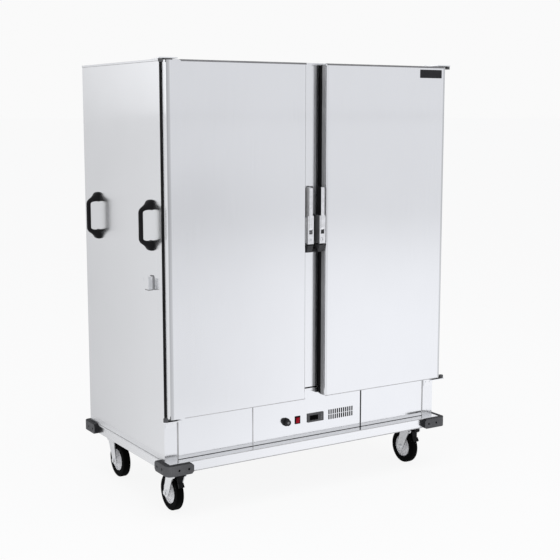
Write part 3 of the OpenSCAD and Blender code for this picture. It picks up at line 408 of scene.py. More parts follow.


# ---------------------------------------------------------------- bumpers
# Dark grey rubber corners bolted on the chassis ring, with moulded soft edges and two sunk
# screws in each leg. Their rims, top and bottom faces and the ends of their legs are darker: painted shade.
def rubbery(name, dark, light, rough, grain, distance, shine=0.5):
    """Rubber or moulded plastic with a fine surface grain and faint dust in it."""
    made, tree, shader = finish(name)
    shader.inputs["Specular IOR Level"].default_value = shine
    cells = grain_of(tree, (grain, grain, grain), 3.0)
    dust = grain_of(tree, (14.0, 14.0, 14.0), 5.0, (3, 1, 2))
    shade = maths(tree, "ADD", maths(tree, "MULTIPLY", cells, 0.35), maths(tree, "MULTIPLY", dust, 0.65))
    tree.links.new(tinted(tree, ramp(tree, shade, 0.35, 0.7), dark, light), shader.inputs["Base Color"])
    tree.links.new(ramp(tree, shade, 0.3, 0.7, rough - 0.06, rough + 0.08), shader.inputs["Roughness"])
    tree.links.new(bumped(tree, cells, distance), shader.inputs["Normal"])
    return made


bumper_rubber = rubbery("grey bumper rubber", (0.066, 0.066, 0.069), (0.094, 0.094, 0.098), 0.6, 900.0,
                        0.00006, 0.25)
# painted shade: a near-black copy of the bumper rubber for the rounded edges, the top and bottom faces and
# the legs' ends
bumper_painted_shade = rubbery("bumper edge rubber, painted shade", (0.008, 0.008, 0.009), (0.020, 0.020, 0.022), 0.6, 900.0,
                      0.00006, 0.2)
corners = wear(softened("corner_bumpers", 0.0034, edge_slot=1), bumper_rubber, bumper_painted_shade)
LEG = 0.093
CHAMFER = 0.012
leg_ends = (ring_high.x - LEG + CHAMFER, ring_low.y + LEG - CHAMFER, ring_high.y - LEG + CHAMFER)
# painted shade: faces turned up or down, and the legs' ends, take the near-black copy
picked(corners, bumper_painted_shade, lambda at, out: (
    abs(out.z) > 0.35 or abs(at.x) < leg_ends[0]
    or (abs(at.x) > ring_high.x - 0.001 and leg_ends[1] < at.y < leg_ends[2])))


# ---------------------------------------------------------------- screws
# Domed cross-head screws that hold the bumpers' legs. One tree makes a head and sets it on each
# point, turned by chance about its own axis.
def points_tree(name, **inputs):
    """A Geometry Nodes tree for points, with more inputs of given kinds, and what it is given."""
    made = bpy.data.node_groups.new(name, "GeometryNodeTree")
    made.interface.new_socket("Geometry", in_out="INPUT", socket_type="NodeSocketGeometry")
    for each, kind in inputs.items():
        made.interface.new_socket(each.replace("_", " "), in_out="INPUT", socket_type="NodeSocket" + kind)
    made.interface.new_socket("Geometry", in_out="OUTPUT", socket_type="NodeSocketGeometry")
    return made, made.nodes.new("NodeGroupInput").outputs


def fastener_tree():
    """Geometry Nodes: a domed head with a cross recess on every point."""
    made, given = points_tree("screw heads", Head_width="Float", Head_height="Float", Facing="Vector",
                              Recess="Float", Seed="Int", Finish="Material")
    ball = add(made, "GeometryNodeMeshUVSphere", {"Segments": 20, "Rings": 10, "Radius": 0.5})
    scale = add(made, "ShaderNodeCombineXYZ", {"X": given["Head width"], "Y": given["Head width"],
                                               "Z": maths(made, "MULTIPLY", given["Head height"], 2.0)})
    dome = add(made, "GeometryNodeTransform", {"Geometry": ball.outputs["Mesh"], "Scale": scale.outputs[0]})
    bars = add(made, "GeometryNodeJoinGeometry")
    for turned in (0, 1):
        thin = maths(made, "MULTIPLY", given["Recess"], 0.24)
        size = add(made, "ShaderNodeCombineXYZ", {
            "X": thin if turned else given["Recess"], "Y": given["Recess"] if turned else thin,
            "Z": given["Head height"]})
        bar = add(made, "GeometryNodeMeshCube", {"Size": size.outputs[0]})
        up = add(made, "ShaderNodeCombineXYZ", {"Z": given["Head height"]})
        bar = add(made, "GeometryNodeTransform",
                  {"Geometry": bar.outputs["Mesh"], "Translation": up.outputs[0]})
        made.links.new(bar.outputs["Geometry"], bars.inputs["Geometry"])
    head = add(made, "GeometryNodeMeshBoolean", {0: dome.outputs["Geometry"], 1: bars.outputs["Geometry"]},
               operation="DIFFERENCE")
    spin = add(made, "FunctionNodeRandomValue", {2: 0.0, 3: 6.283, "Seed": given["Seed"]}, data_type="FLOAT")
    about = add(made, "ShaderNodeCombineXYZ", {"Z": spin.outputs[1]})
    placed = add(made, "GeometryNodeInstanceOnPoints",
                 {"Points": given["Geometry"], "Instance": head.outputs[0], "Rotation": given["Facing"]})
    spun = add(made, "GeometryNodeRotateInstances",
               {"Instances": placed.outputs[0], "Rotation": about.outputs[0], "Local Space": True})
    real = add(made, "GeometryNodeRealizeInstances", {"Geometry": spun.outputs[0]})
    smooth = add(made, "GeometryNodeSetShadeSmooth", {"Geometry": real.outputs[0]})
    painted = add(made, "GeometryNodeSetMaterial",
                  {"Geometry": smooth.outputs[0], "Material": given["Finish"]})
    add(made, "NodeGroupOutput", {0: painted.outputs[0]})
    return made


def grown(name, points, tree, inputs):
    """The plain mesh that a tree makes on a cloud of points."""
    cloud = bpy.data.meshes.new(name)
    cloud.from_pydata(points, [], [])
    made = bpy.data.objects.new(name, cloud)
    bpy.context.scene.collection.objects.link(made)
    build = made.modifiers.new("build", "NODES")
    build.node_group = tree
    for item in tree.interface.items_tree:
        if item.in_out == "INPUT" and item.name in inputs:
            build[item.identifier] = inputs[item.name]
    ready = made.evaluated_get(bpy.context.evaluated_depsgraph_get())
    mesh = bpy.data.meshes.new_from_object(ready)
    made.modifiers.clear()
    made.data = mesh
    mesh.name = name
    mesh.materials.clear()
    mesh.materials.append(inputs["Finish"])
    mesh.polygons.foreach_set("material_index", [0] * len(mesh.polygons))
    return made


screws = fastener_tree()
FACING = {"-Y": (math.pi / 2, 0, 0), "+Y": (-math.pi / 2, 0, 0), "+X": (0, math.pi / 2, 0),
          "-X": (0, -math.pi / 2, 0)}


def clouded(name, scale, detail, dark, light, smooth, dull, metallic=1.0, shine=0.5):
    """A metal or plastic whose colour and gloss wander together."""
    made, tree, shader = finish(name)
    shader.inputs["Metallic"].default_value = metallic
    shader.inputs["Specular IOR Level"].default_value = shine
    cloud = grain_of(tree, scale, detail)
    tree.links.new(tinted(tree, cloud, dark, light), shader.inputs["Base Color"])
    tree.links.new(ramp(tree, cloud, 0.3, 0.7, smooth, dull), shader.inputs["Roughness"])
    return made


screw_steel = clouded("screw steel", (2400.0, 2400.0, 2400.0), 2.0, (0.50, 0.50, 0.51), (0.70, 0.70, 0.71),
                      0.22, 0.34)
HEAD_WIDTH = 0.008
HEAD_HEIGHT = 0.0024
RECESS = HEAD_WIDTH * 0.55
# how deep the heads sit in the rubber, and how far from the end of a leg
SUNK = 0.010
STATIONS = (0.022, 0.064)


def fasten(name, points, facing, seed):
    """Screw heads on points of the cabinet."""
    made = grown(name, points, screws, {
        "Head width": HEAD_WIDTH, "Head height": HEAD_HEIGHT, "Facing": FACING[facing], "Recess": RECESS,
        "Seed": seed, "Finish": screw_steel})
    rounded(made.data, 40)
    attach(made, "cabinet")


low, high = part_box("corner_bumpers")
rail_z = (low.z + high.z) / 2
for side, s in SIDES.items():
    along_x = [s * (ring_high.x - LEG + d) for d in STATIONS]
    fasten("bumper_screws_front_" + side, [(x, low.y + SUNK, rail_z) for x in along_x], "-Y", 11)
    fasten("bumper_screws_back_" + side, [(x, high.y - SUNK, rail_z) for x in along_x], "+Y", 12)
    ends = [ring_low.y + LEG - d for d in STATIONS] + [ring_high.y - LEG + d for d in STATIONS]
    fasten("bumper_screws_" + side, [(s * (high.x - SUNK), y, rail_z) for y in ends],
           "+X" if s > 0 else "-X", 13)


# ---------------------------------------------------------------- castors
# Zinc-plated top plates and forks, grey moulded wheel centres with black rubber tyres, and black
# brake pedals on the two castors at the doors.
zinc, tree, shader = finish("zinc plate")
place = add(tree, "ShaderNodeTexCoord").outputs["Object"]
spangle = add(tree, "ShaderNodeTexVoronoi", {"Vector": place, "Scale": 160.0}).outputs["Distance"]
haze = grain_of(tree, (30.0, 30.0, 30.0), 4.0)
shader.inputs["Metallic"].default_value = 1.0
both = maths(tree, "MULTIPLY", maths(tree, "ADD", spangle, haze), 0.5)
tree.links.new(tinted(tree, ramp(tree, both, 0.2, 0.6), (0.80, 0.81, 0.82), (0.92, 0.925, 0.93)),
               shader.inputs["Base Color"])
tree.links.new(ramp(tree, haze, 0.3, 0.7, 0.28, 0.45), shader.inputs["Roughness"])
tree.links.new(bumped(tree, spangle, 0.00003), shader.inputs["Normal"])

wheel_grey = rubbery("grey wheel centre", (0.74, 0.74, 0.75), (0.84, 0.84, 0.85), 0.42, 700.0, 0.00004)
tyre_black = rubbery("tyre rubber", (0.0006, 0.0006, 0.0006), (0.0022, 0.0022, 0.0024), 0.75, 800.0,
                     0.00008, 0.05)
black_plastic = rubbery("black moulded plastic", (0.0030, 0.0028, 0.0034), (0.0075, 0.0070, 0.0082), 0.5,
                        1300.0, 0.00003, 0.16)


def modelled(name, points, faces, bend=32, trim=None):
    """A piece from points and faces, turned outwards, trimmed if asked, with soft shading."""
    mesh = bpy.data.meshes.new(name)
    mesh.from_pydata(points, [], faces)
    shape = bmesh.new()
    shape.from_mesh(mesh)
    bmesh.ops.recalc_face_normals(shape, faces=shape.faces)
    if trim:
        trim(shape)
    shape.to_mesh(mesh)
    shape.free()
    if bend:
        rounded(mesh, bend)
    made = bpy.data.objects.new(name, mesh)
    bpy.context.scene.collection.objects.link(made)
    return made


def turned_piece(name, profile, centre, steps=96):
    """A ring turned about X through a centre, from (distance along X, radius) points."""
    points = []
    faces = []
    n = len(profile)
    for i in range(steps):
        a = 2 * math.pi * i / steps
        for x, r in profile:
            points.append((centre[0] + x, centre[1] + r * math.cos(a), centre[2] + r * math.sin(a)))
    for i in range(steps):
        for j in range(n):
            k = (j + 1) % n
            m = (i + 1) % steps
            faces.append((i * n + j, m * n + j, m * n + k, i * n + k))
    return modelled(name, points, faces, 50)


def arc_points(cx, cy, r, start, end, count):
    """Points on an arc, start and end in degrees."""
    return [(cx + r * math.cos(math.radians(start + (end - start) * i / count)),
             cy + r * math.sin(math.radians(start + (end - start) * i / count))) for i in range(count + 1)]


# the radius of a tyre's shoulder, and that of the rim's lip, over which the tyre is seated
EDGE = 0.007
LIP = 0.0465
# forward of this line a pedal is its shoe, which is narrower than its solid
TOE_Y = -0.318
SHOE = 0.70
dress(zinc, "castor_plates")
for place in ("front_left", "front_right", "rear_left", "rear_right"):
    dress(zinc, "fork_" + place)
    dress(wheel_grey, "rim_" + place)
    low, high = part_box("tyre_" + place)
    radius = (high.z - low.z) / 2
    half = (high.x - low.x) / 2
    seat = radius * 0.72
    wall = [(half - 0.0019, seat), (half - 0.0019, LIP), (half - 0.0012, LIP + 0.0004),
            (half - 0.0009, seat + 0.004), (half, seat + 0.006), (half, seat + 0.0075),
            (half - 0.0010, seat + 0.009)]
    outside = wall + arc_points(half - EDGE, radius - EDGE, EDGE, 0, 90, 6)
    profile = outside + [(-x, r) for x, r in reversed(outside)]
    tyre = turned_piece("tyre_band_" + place, profile, (low + high) / 2)
    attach(tyre, "wheel_" + place)
    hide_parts("tyre_" + place)
    wear(tyre, tyre_black)
for side in SIDES:
    pedal = wear(softened("pedal_" + side, 0.0012, 2), black_plastic)
    middle = sum(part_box("pedal_" + side), Vector()).x / 2
    for vertex in pedal.data.vertices:
        if vertex.co.y < TOE_Y:
            vertex.co.x = middle + (vertex.co.x - middle) * SHOE


# ---------------------------------------------------------------- push handles
# Black nylon handles screwed through the side panels: broad feet that sweep into a round grip.
def swept(name, stations, centre, side, steps=28, between=6):
    """A closed sweep through stations of (out, up, half height, half width, squareness)."""
    def blend(a, b, c, d, t):
        return tuple(0.5 * (2 * q + (r - p) * t + (2 * p - 5 * q + 4 * r - s) * t * t
                            + (3 * q - p - 3 * r + s) * t ** 3) for p, q, r, s in zip(a, b, c, d))
    path = []
    last = len(stations) - 1
    for i in range(last):
        around = [stations[max(0, min(last, k))] for k in (i - 1, i, i + 1, i + 2)]
        path += [blend(*around, k / between) for k in range(between)]
    path.append(stations[-1])
    points = []
    for i, (out, up, tall, wide, square) in enumerate(path):
        before = path[max(0, i - 1)]
        after = path[min(len(path) - 1, i + 1)]
        run = Vector((after[0] - before[0], after[1] - before[1])).normalized()
        if i in (0, len(path) - 1):
            run = Vector((1, 0)) if i == 0 else Vector((-1, 0))
        across = Vector((-run.y, run.x))
        for k in range(steps):
            a = 2 * math.pi * k / steps
            c, d = math.cos(a), math.sin(a)
            u = math.copysign(abs(c) ** square, c) * tall
            v = math.copysign(abs(d) ** square, d) * wide
            points.append((centre[0] + side * (out + across.x * u), centre[1] + v,
                           centre[2] + up + across.y * u))
    faces = [(i * steps + k, i * steps + (k + 1) % steps,
              (i + 1) * steps + (k + 1) % steps, (i + 1) * steps + k)
             for i in range(len(path) - 1) for k in range(steps)]
    faces.append(tuple(range(steps)))
    faces.append(tuple((len(path) - 1) * steps + k for k in range(steps)))
    return modelled(name, points, faces, 60)


# the grip's distance from the panel, and its radius
GRIP_OUT = 0.044
GRIP_R = 0.009
low_half = [(0.0, -0.078, 0.020, 0.020, 0.5), (0.006, -0.0775, 0.0195, 0.0195, 0.55),
            (0.016, -0.0725, 0.0145, 0.0165, 0.7), (0.028, -0.0670, 0.0100, 0.0120, 0.85),
            (0.038, -0.0610, 0.0090, 0.0100, 1.0), (0.0432, -0.0535, GRIP_R, GRIP_R, 1.0),
            (GRIP_OUT, -0.044, GRIP_R, GRIP_R, 1.0), (GRIP_OUT, -0.019, GRIP_R, GRIP_R, 1.0)]
grip_line = low_half + [(out, -up, tall, wide, square) for out, up, tall, wide, square in reversed(low_half)]
low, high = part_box("push_handles")
handle_z = (low.z + high.z) / 2
panel_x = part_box("chassis_frame")[1].x
FRONT_INSET = 0.033
REAR_INSET = 0.025
handles = []
for side, s in SIDES.items():
    for end, y in (("front", low.y + FRONT_INSET), ("rear", high.y - REAR_INSET)):
        handle = swept(f"push_handle_{end}_{side}", grip_line, (s * panel_x, y, handle_z), s)
        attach(handle, "cabinet")
        wear(handle, black_plastic)
        handles.append(handle)
for handle in handles:
    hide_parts("push_handles")


# ---------------------------------------------------------------- hinges
# Black moulded leaves capped over the door corners turn on steel pins, which stand in plates
# screwed to the roof and to the posts. The leaves' round eyes are in the grey bumper rubber.
dress(ledge_steel, "hinge_brackets")
leaf_black = rubbery("black hinge leaf", (0.012, 0.012, 0.013), (0.022, 0.022, 0.023), 0.4, 1300.0,
                     0.00003, 0.3)
# outward of this line a leaf is its eye, around the pin
EYE_LINE = 0.668
for side in SIDES:
    leaves = wear(softened("hinge_leaves_" + side, 0.0012, 2), leaf_black)
    picked(leaves, bumper_rubber, lambda at, out: abs(at.x) > EYE_LINE)


# ---------------------------------------------------------------- gaskets
# Black rubber profile pressed into the doors' edge: a flat foot, a narrow waist and a soft round
# bulb that meets the frame, mitred at the corners.
def framed(name, low, high, profile):
    """A mitred rectangular frame from (inset, depth) points; depth runs along Y from low.y."""
    points = []
    for inset, depth in profile:
        x0, x1, z0, z1 = low.x + inset, high.x - inset, low.z + inset, high.z - inset
        y = low.y + depth
        points += [(x0, y, z0), (x1, y, z0), (x1, y, z1), (x0, y, z1)]
    n = len(profile)
    faces = []
    for i in range(n):
        j = (i + 1) % n
        for k in range(4):
            m = (k + 1) % 4
            faces.append((i * 4 + k, i * 4 + m, j * 4 + m, j * 4 + k))
    return modelled(name, points, faces, 40)


gasket_black = rubbery("gasket rubber", (0.0016, 0.0016, 0.0018), (0.0050, 0.0050, 0.0054), 0.6, 1100.0,
                       0.00003, 0.12)
# the bulb stands in the middle of the foot and is wider than it is deep
BULB_INSET = 0.0125
BULB_WIDEN = 1.5
bulb = [(BULB_INSET + (x - BULB_INSET) * BULB_WIDEN, y)
        for x, y in arc_points(BULB_INSET, 0.0117, 0.0080, -60, 240, 22)]
foot = [(0.0025, 0.0045), (0.0, 0.0035), (0.0, 0.0), (0.025, 0.0), (0.025, 0.0035), (0.0225, 0.0045)]
for side in SIDES:
    low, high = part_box("door_gasket_" + side)
    gasket = framed("door_seal_" + side, low, high, foot + bulb)
    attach(gasket, "door_" + side)
    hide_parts("door_gasket_" + side)
    wear(gasket, gasket_black)


# ---------------------------------------------------------------- latches
# Satin die-cast housings on the doors' closing edges with long flat levers, a chrome key lock,
# and dark moulded bolts that meet a black strike on the mullion. The housings' and levers' flanks
# have a grey coat, with painted light making the outer flanks paler and painted shade making the
# inner flanks, in the gap between the latches, dark.
cast, tree, shader = finish("satin die casting")
cloud = grain_of(tree, (60.0, 60.0, 60.0), 4.0)
fine = grain_of(tree, (1800.0, 1800.0, 60.0), 2.0)
shader.inputs["Metallic"].default_value = 1.0
tree.links.new(tinted(tree, ramp(tree, cloud, 0.3, 0.7), (0.76, 0.76, 0.77), (0.88, 0.88, 0.89)),
               shader.inputs["Base Color"])
tree.links.new(ramp(tree, cloud, 0.3, 0.7, 0.18, 0.26), shader.inputs["Roughness"])
tree.links.new(bumped(tree, fine, 0.000004, 0.5), shader.inputs["Normal"])
chrome = clouded("lock chrome", (400.0, 400.0, 400.0), 2.0, (0.72, 0.72, 0.73), (0.90, 0.90, 0.91),
                 0.06, 0.14)
bolt_grey = rubbery("dark grey bolts", (0.030, 0.030, 0.032), (0.050, 0.050, 0.053), 0.5, 1300.0,
                    0.00003, 0.2)
# painted light and shade: paler greys for the outer flanks, where light falls, and a dark grey for the inner
# flanks, in the gap between the latches
housing_flank_lit = rubbery("grey latch flank, painted light", (0.27, 0.27, 0.275), (0.33, 0.33, 0.335), 0.5, 1500.0, 0.00002, 0.3)
lever_flank_lit = rubbery("pale lever flank, painted light", (0.40, 0.40, 0.405), (0.47, 0.47, 0.475), 0.5, 1500.0, 0.00002, 0.3)
latch_flank_shade = rubbery("dark latch flank, painted shade", (0.09, 0.09, 0.093), (0.13, 0.13, 0.134), 0.5, 1500.0, 0.00002, 0.2)
# how far a flank's normal leans along X, and the bolt's size in its housing
SIDEWAYS = 0.75
BOLT_PLAY = 0.994
for side, s in SIDES.items():
    for part, width, outer_flank_lit, inner_flank_shade in (("latch_body_", 0.0012, housing_flank_lit, latch_flank_shade),
                                                  ("latch_lever_", 0.0015, lever_flank_lit, black_plastic)):
        piece = wear(softened(part + side, width, inner=False), cast)
        # painted light on the outer flanks, painted shade on the inner flanks (the levers' inner flanks in
        # black)
        picked(piece, outer_flank_lit, lambda at, out: out.x * s > SIDEWAYS)
        picked(piece, inner_flank_shade, lambda at, out: out.x * s < -SIDEWAYS)
    bolt = wear(softened("latch_bolt_" + side, 0.0014), bolt_grey)
    middle = sum(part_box("latch_bolt_" + side), Vector()) / 2
    for vertex in bolt.data.vertices:
        vertex.co = middle + (vertex.co - middle) * BOLT_PLAY
    dress(chrome, "lock_" + side)
wear(softened("latch_keeper", 0.0010), black_plastic)


# ---------------------------------------------------------------- door edge strips
# Grey plastic strips clipped on the doors' closing edges, with a shallow groove along them, and
# over their top and foot edges; they part the warm inner pan from the outer tray.
def lath(name, body, profile, start, end, material, level=False):
    """A straight strip: an upright one with a closed (x, y) profile, or a level one with (y, z)."""
    n = len(profile)
    points = [(t, a, b) if level else (a, b, t) for t in (start, end) for a, b in profile]
    faces = [tuple(range(n)), tuple(range(2 * n - 1, n - 1, -1))]
    faces += [(i, (i + 1) % n, n + (i + 1) % n, n + i) for i in range(n)]
    made = modelled(name, points, faces)
    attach(made, body)
    wear(made, material)


strip_grey = rubbery("grey edge strip", (0.23, 0.23, 0.235), (0.29, 0.29, 0.295), 0.55, 1200.0, 0.00002, 0.2)
# painted shade: the top strips are a darker copy of the strip grey, for the shade under the roof; painted
# light: the foot strips are a paler copy
top_strip_shade = rubbery("top edge strip, painted shade", (0.14, 0.14, 0.145), (0.19, 0.19, 0.195), 0.55, 1200.0, 0.00002, 0.2)
foot_strip_lit = rubbery("foot edge strip, painted light", (0.42, 0.42, 0.43), (0.50, 0.50, 0.51), 0.55, 1200.0, 0.00002, 0.2)
# the level strips start this far from the closing edge and end at these distances from the middle
CUT_BACK = 0.0010
leaf_x = {"left": 0.606, "right": 0.655}
over_top = [(0.012, 0.0001), (0.012, 0.0022), (0.0008, 0.0026), (-0.0008, 0.0016), (-0.0008, -0.0042),
            (-0.0001, -0.0045), (-0.0001, 0.0001)]
under_foot = [(0.003, 0.0001), (0.003, -0.0010), (0.0004, -0.0010), (-0.0006, 0.0), (-0.0006, 0.0022),
              (-0.0001, 0.0024), (-0.0001, 0.0001)]
for side, s in SIDES.items():
    low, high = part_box("door_skin_" + side)
    edge = low.x if s > 0 else high.x
    y0 = low.y + 0.0100
    y1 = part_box("door_pan_" + side)[1].y - 0.0006
    grooved = [(0.0001, y0), (-0.0008, y0 + 0.0006), (-0.0008, y0 + 0.0050), (-0.0003, y0 + 0.0056),
               (-0.0003, y0 + 0.0086), (-0.0008, y0 + 0.0092), (-0.0008, y1 - 0.0006), (0.0001, y1)]
    lath("door_edge_strip_" + side, "door_" + side, [(edge + s * x, y) for x, y in grooved],
         low.z + 0.0015, high.z - 0.0015, strip_grey)
    lath("door_top_strip_" + side, "door_" + side, [(low.y + y, high.z + z) for y, z in over_top],
         edge + s * CUT_BACK, s * leaf_x[side], top_strip_shade, True)
    lath("door_foot_strip_" + side, "door_" + side, [(low.y + y, low.z + z) for y, z in under_foot],
         edge + s * CUT_BACK, s * leaf_x[side], foot_strip_lit, True)


# ---------------------------------------------------------------- sealing beads
# Sealant pressed into the joints, with a tooled round back: dark between the lower covers and
# along their foot on the ledge, pale in the narrow joints beside the posts and on the side panels.
# The pale bead along the side panels' foot also paints the lap's shadow, and pale lines along the
# ledge's front fold and the rail's foot are painted shade for the folds' darker reflection.
sealant = rubbery("dark sealant", (0.020, 0.020, 0.021), (0.038, 0.038, 0.040), 0.6, 500.0, 0.00012, 0.15)
pale_sealant = rubbery("pale sealant", (0.36, 0.36, 0.365), (0.46, 0.46, 0.465), 0.6, 500.0, 0.00008, 0.15)
ALONG_X = (1, 0, 0)
FORWARD = (0, -1, 0)
UPWARD = (0, 0, 1)
SLANT_OUT = (0, -0.7071, 0.7071)
SLANT_ACROSS = (0, 0.7071, 0.7071)


def bead(name, lines, out, across, half, proud, material):
    """Half-round beads along straight lines; out and across are the directions of their section."""
    points = []
    faces = []
    for start, end in lines:
        base = len(points)
        for at in (start, end):
            for k in range(7):
                a = math.pi * k / 6
                points.append(Vector(at) + Vector(across) * half * math.cos(a)
                              + Vector(out) * proud * math.sin(a))
        faces += [(base + k, base + k + 1, base + 8 + k, base + 7 + k) for k in range(6)]
        faces += [(base + 6, base, base + 7, base + 13)]
        faces += [tuple(base + k for k in range(7)), tuple(base + 13 - k for k in range(7))]
    made = modelled(name, points, faces, 50)
    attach(made, "cabinet")
    wear(made, material)


low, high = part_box("control_panel")
outer_low, outer_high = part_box("service_panels")
face_y = outer_low.y
# half the width of a joint between two sheets
JOINT = 0.0008


def upright(x):
    """A line up the cover's face, from the ledge to the covers' top."""
    return (x, face_y, foot_z + 0.001), (x, face_y, high.z)


bead("cover_bead_left", [upright(-high.x - JOINT)], FORWARD, ALONG_X, 0.0024, 0.0007, pale_sealant)
bead("cover_bead_right", [upright(high.x + JOINT)], FORWARD, ALONG_X, 0.0036, 0.0009, sealant)
bead("post_beads", [upright(s * (outer_high.x + JOINT)) for s in (-1, 1)], FORWARD, ALONG_X,
     0.0036, 0.0007, pale_sealant)
bead("foot_bead", [((-outer_high.x, face_y, foot_z), (outer_high.x, face_y, foot_z))], SLANT_OUT,
     SLANT_ACROSS, 0.0030, 0.0016, sealant)
reach = ring_high.x - LEG
# painted shade: pale lines along the ledge's front fold and the rail's foot, for the folds' darker reflection
for name, y, z, out, across, half, proud in (
        ("rail_top_fold_shade", ring_low.y + 0.0007, foot_z - 0.0007, SLANT_OUT, SLANT_ACROSS, 0.0018, 0.0005),
        ("rail_foot_fold_shade", ring_low.y, ring_low.z + 0.0030, FORWARD, UPWARD, 0.0016, 0.0004)):
    bead(name, [((-reach, y, z), (reach, y, z))], out, across, half, proud, pale_sealant)
rim_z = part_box("side_panel_right")[1].z - 0.0058
# along the side panels' foot the bead marks the lap joint and also paints its shadow line
for side, s in SIDES.items():
    for name, y0, y1, z, half in (("side_foot_bead_", -0.294, 0.294, foot_z, 0.0024),
                                  ("side_roof_bead_", -0.338, 0.384, rim_z, 0.0016)):
        bead(name + side, [((s * panel_x, y0, z), (s * panel_x, y1, z))], (s, 0, 0), UPWARD, half,
             0.0005, pale_sealant)


# ---------------------------------------------------------------- plug rest shade lines
# Grey beads along the rest for the mains plug: up the front edge of its back, along the top and
# along the turned-out foot. They are painted shade: thin grey lines where the rest's edges cast shadows.
rest_y = -0.2683
rest_low, rest_top = 0.9012, 0.9540
back_x = -0.6726
fold_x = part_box("side_panel_left")[0].x
for name, start, end, out, across, half in (
        ("upright", (back_x, rest_y, rest_low), (back_x, rest_y, rest_top), FORWARD, ALONG_X, 0.0022),
        ("foot", (back_x, rest_y, rest_low), (fold_x, rest_y, rest_low), FORWARD, UPWARD, 0.0020),
        ("fold", (fold_x, rest_y, rest_low), (fold_x, rest_y + 0.030, rest_low), (-1, 0, 0), UPWARD, 0.0020),
        ("top", (back_x, rest_y, rest_top), (back_x, rest_y + 0.026, rest_top), (-1, 0, 0), UPWARD, 0.0024)):
    bead("rest_shade_line_" + name, [(start, end)], out, across, half, 0.0006, strip_grey)


# ---------------------------------------------------------------- controls
# The thermostat with its smoked window, a red rocker in a black bezel, and a black dial with a
# grey cap, all in the middle cover. Black louvres stand in the vent's slots, in front of a pleated
# filter; both are near-black to darken the slots: painted shade. Nothing on them is lettered.
case_grey = rubbery("dark grey case", (0.065, 0.065, 0.068), (0.095, 0.095, 0.099), 0.5, 1600.0, 0.00002, 0.2)
wear(softened("thermostat_case", 0.0008, 2), case_grey)
low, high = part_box("thermostat_case")
# the window is a sheet of 8 by 4 panes, its face slightly domed
corner_x, corner_z = low.x + 0.0100, low.z + 0.0084
wide, tall = 0.0420, high.z - 0.0084 - corner_z
DOME = 0.00025
pane_points = []
for depth, dome in ((0.0011, 0.0), (0.0003, DOME)):
    for i in range(9):
        for j in range(5):
            proud = dome * (1 - ((i - 4) / 4) ** 2) * (1 - ((j - 2) / 2) ** 2)
            pane_points.append((corner_x + wide * i / 8, low.y + depth - proud, corner_z + tall * j / 4))
quads = [(i * 5 + j, i * 5 + j + 1, i * 5 + j + 6, i * 5 + j + 5) for i in range(8) for j in range(4)]
around = [i * 5 for i in range(9)] + [40 + j for j in range(1, 5)]
around += [i * 5 + 4 for i in range(7, -1, -1)] + [3, 2, 1]
pane = modelled("smoked_window", pane_points, quads + [tuple(45 + k for k in q) for q in quads]
                + [(a, b, b + 45, a + 45) for a, b in zip(around, around[1:] + around[:1])])
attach(pane, "cabinet")
smoked = rubbery("smoked window", (0.0003, 0.0003, 0.0004), (0.0007, 0.0007, 0.0008), 0.35, 300.0,
                 0.000002, 0.03)
wear(pane, smoked)

panel_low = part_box("control_panel")[0]
# where the vent stands in the cover: its left end, width, foot and top
VENT_X, VENT_WIDE = 0.0970, 0.1370
VENT_FOOT, VENT_TOP = 0.0531, 0.1005
PLEATS = 52
fleece = []
for layer in range(2):
    for i in range(PLEATS + 1):
        x = VENT_X + VENT_WIDE * i / PLEATS
        y = panel_low.y + 0.0014 + (0.0022 if i % 2 else 0.0) + layer * 0.0006
        fleece += [(x, y, panel_low.z + VENT_FOOT), (x, y, panel_low.z + VENT_TOP)]
n = 2 * (PLEATS + 1)
faces = [(2 * i + m, 2 * i + 1 + m, 2 * i + 3 + m, 2 * i + 2 + m) for m in (0, n) for i in range(PLEATS)]
faces += [(2 * i + e, 2 * i + 2 + e, 2 * i + 2 + e + n, 2 * i + e + n) for i in range(PLEATS) for e in (0, 1)]
faces += [(0, 1, 1 + n, n), (n - 2, n - 1, 2 * n - 1, 2 * n - 2)]
vent_filter = modelled("vent_filter", fleece, faces, bend=None)
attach(vent_filter, "cabinet")
# painted shade: a near-black fleece behind the slots darkens them
fleece_painted_shade = rubbery("black filter fleece, painted shade", (0.001, 0.001, 0.001), (0.004, 0.004, 0.004), 0.9, 2600.0,
                       0.0002, 0.03)
wear(vent_filter, fleece_painted_shade)

# painted shade: the louvres' near-black darkens the slots further
louvres_painted_shade = rubbery("black louvres, painted shade", (0.0008, 0.0008, 0.0008), (0.003, 0.003, 0.003), 0.7, 2000.0,
                       0.00002, 0.04)
louvres, given = points_tree("louvres", Louvre_size="Vector", Finish="Material")
block = add(louvres, "GeometryNodeMeshCube", {"Size": given["Louvre size"]})
rows = add(louvres, "GeometryNodeInstanceOnPoints",
           {"Points": given["Geometry"], "Instance": block.outputs["Mesh"]})
real = add(louvres, "GeometryNodeRealizeInstances", {"Geometry": rows.outputs[0]})
painted = add(louvres, "GeometryNodeSetMaterial", {"Geometry": real.outputs[0], "Material": given["Finish"]})
add(louvres, "NodeGroupOutput", {0: painted.outputs[0]})
# twelve slots in each of two rows
SLOT_X, SLOT_PITCH = 0.1000, 0.0109
VENT_MID, ROW_PITCH = 0.0764, 0.0224
vent_points = [(SLOT_X + SLOT_PITCH * (i + 0.5), panel_low.y + 0.0009,
                panel_low.z + VENT_MID + (j - 0.5) * ROW_PITCH) for i in range(12) for j in range(2)]
vent_louvres = grown("vent_louvres", vent_points, louvres,
                     {"Louvre size": (0.0064, 0.0022, 0.0202), "Finish": louvres_painted_shade})
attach(vent_louvres, "cabinet")

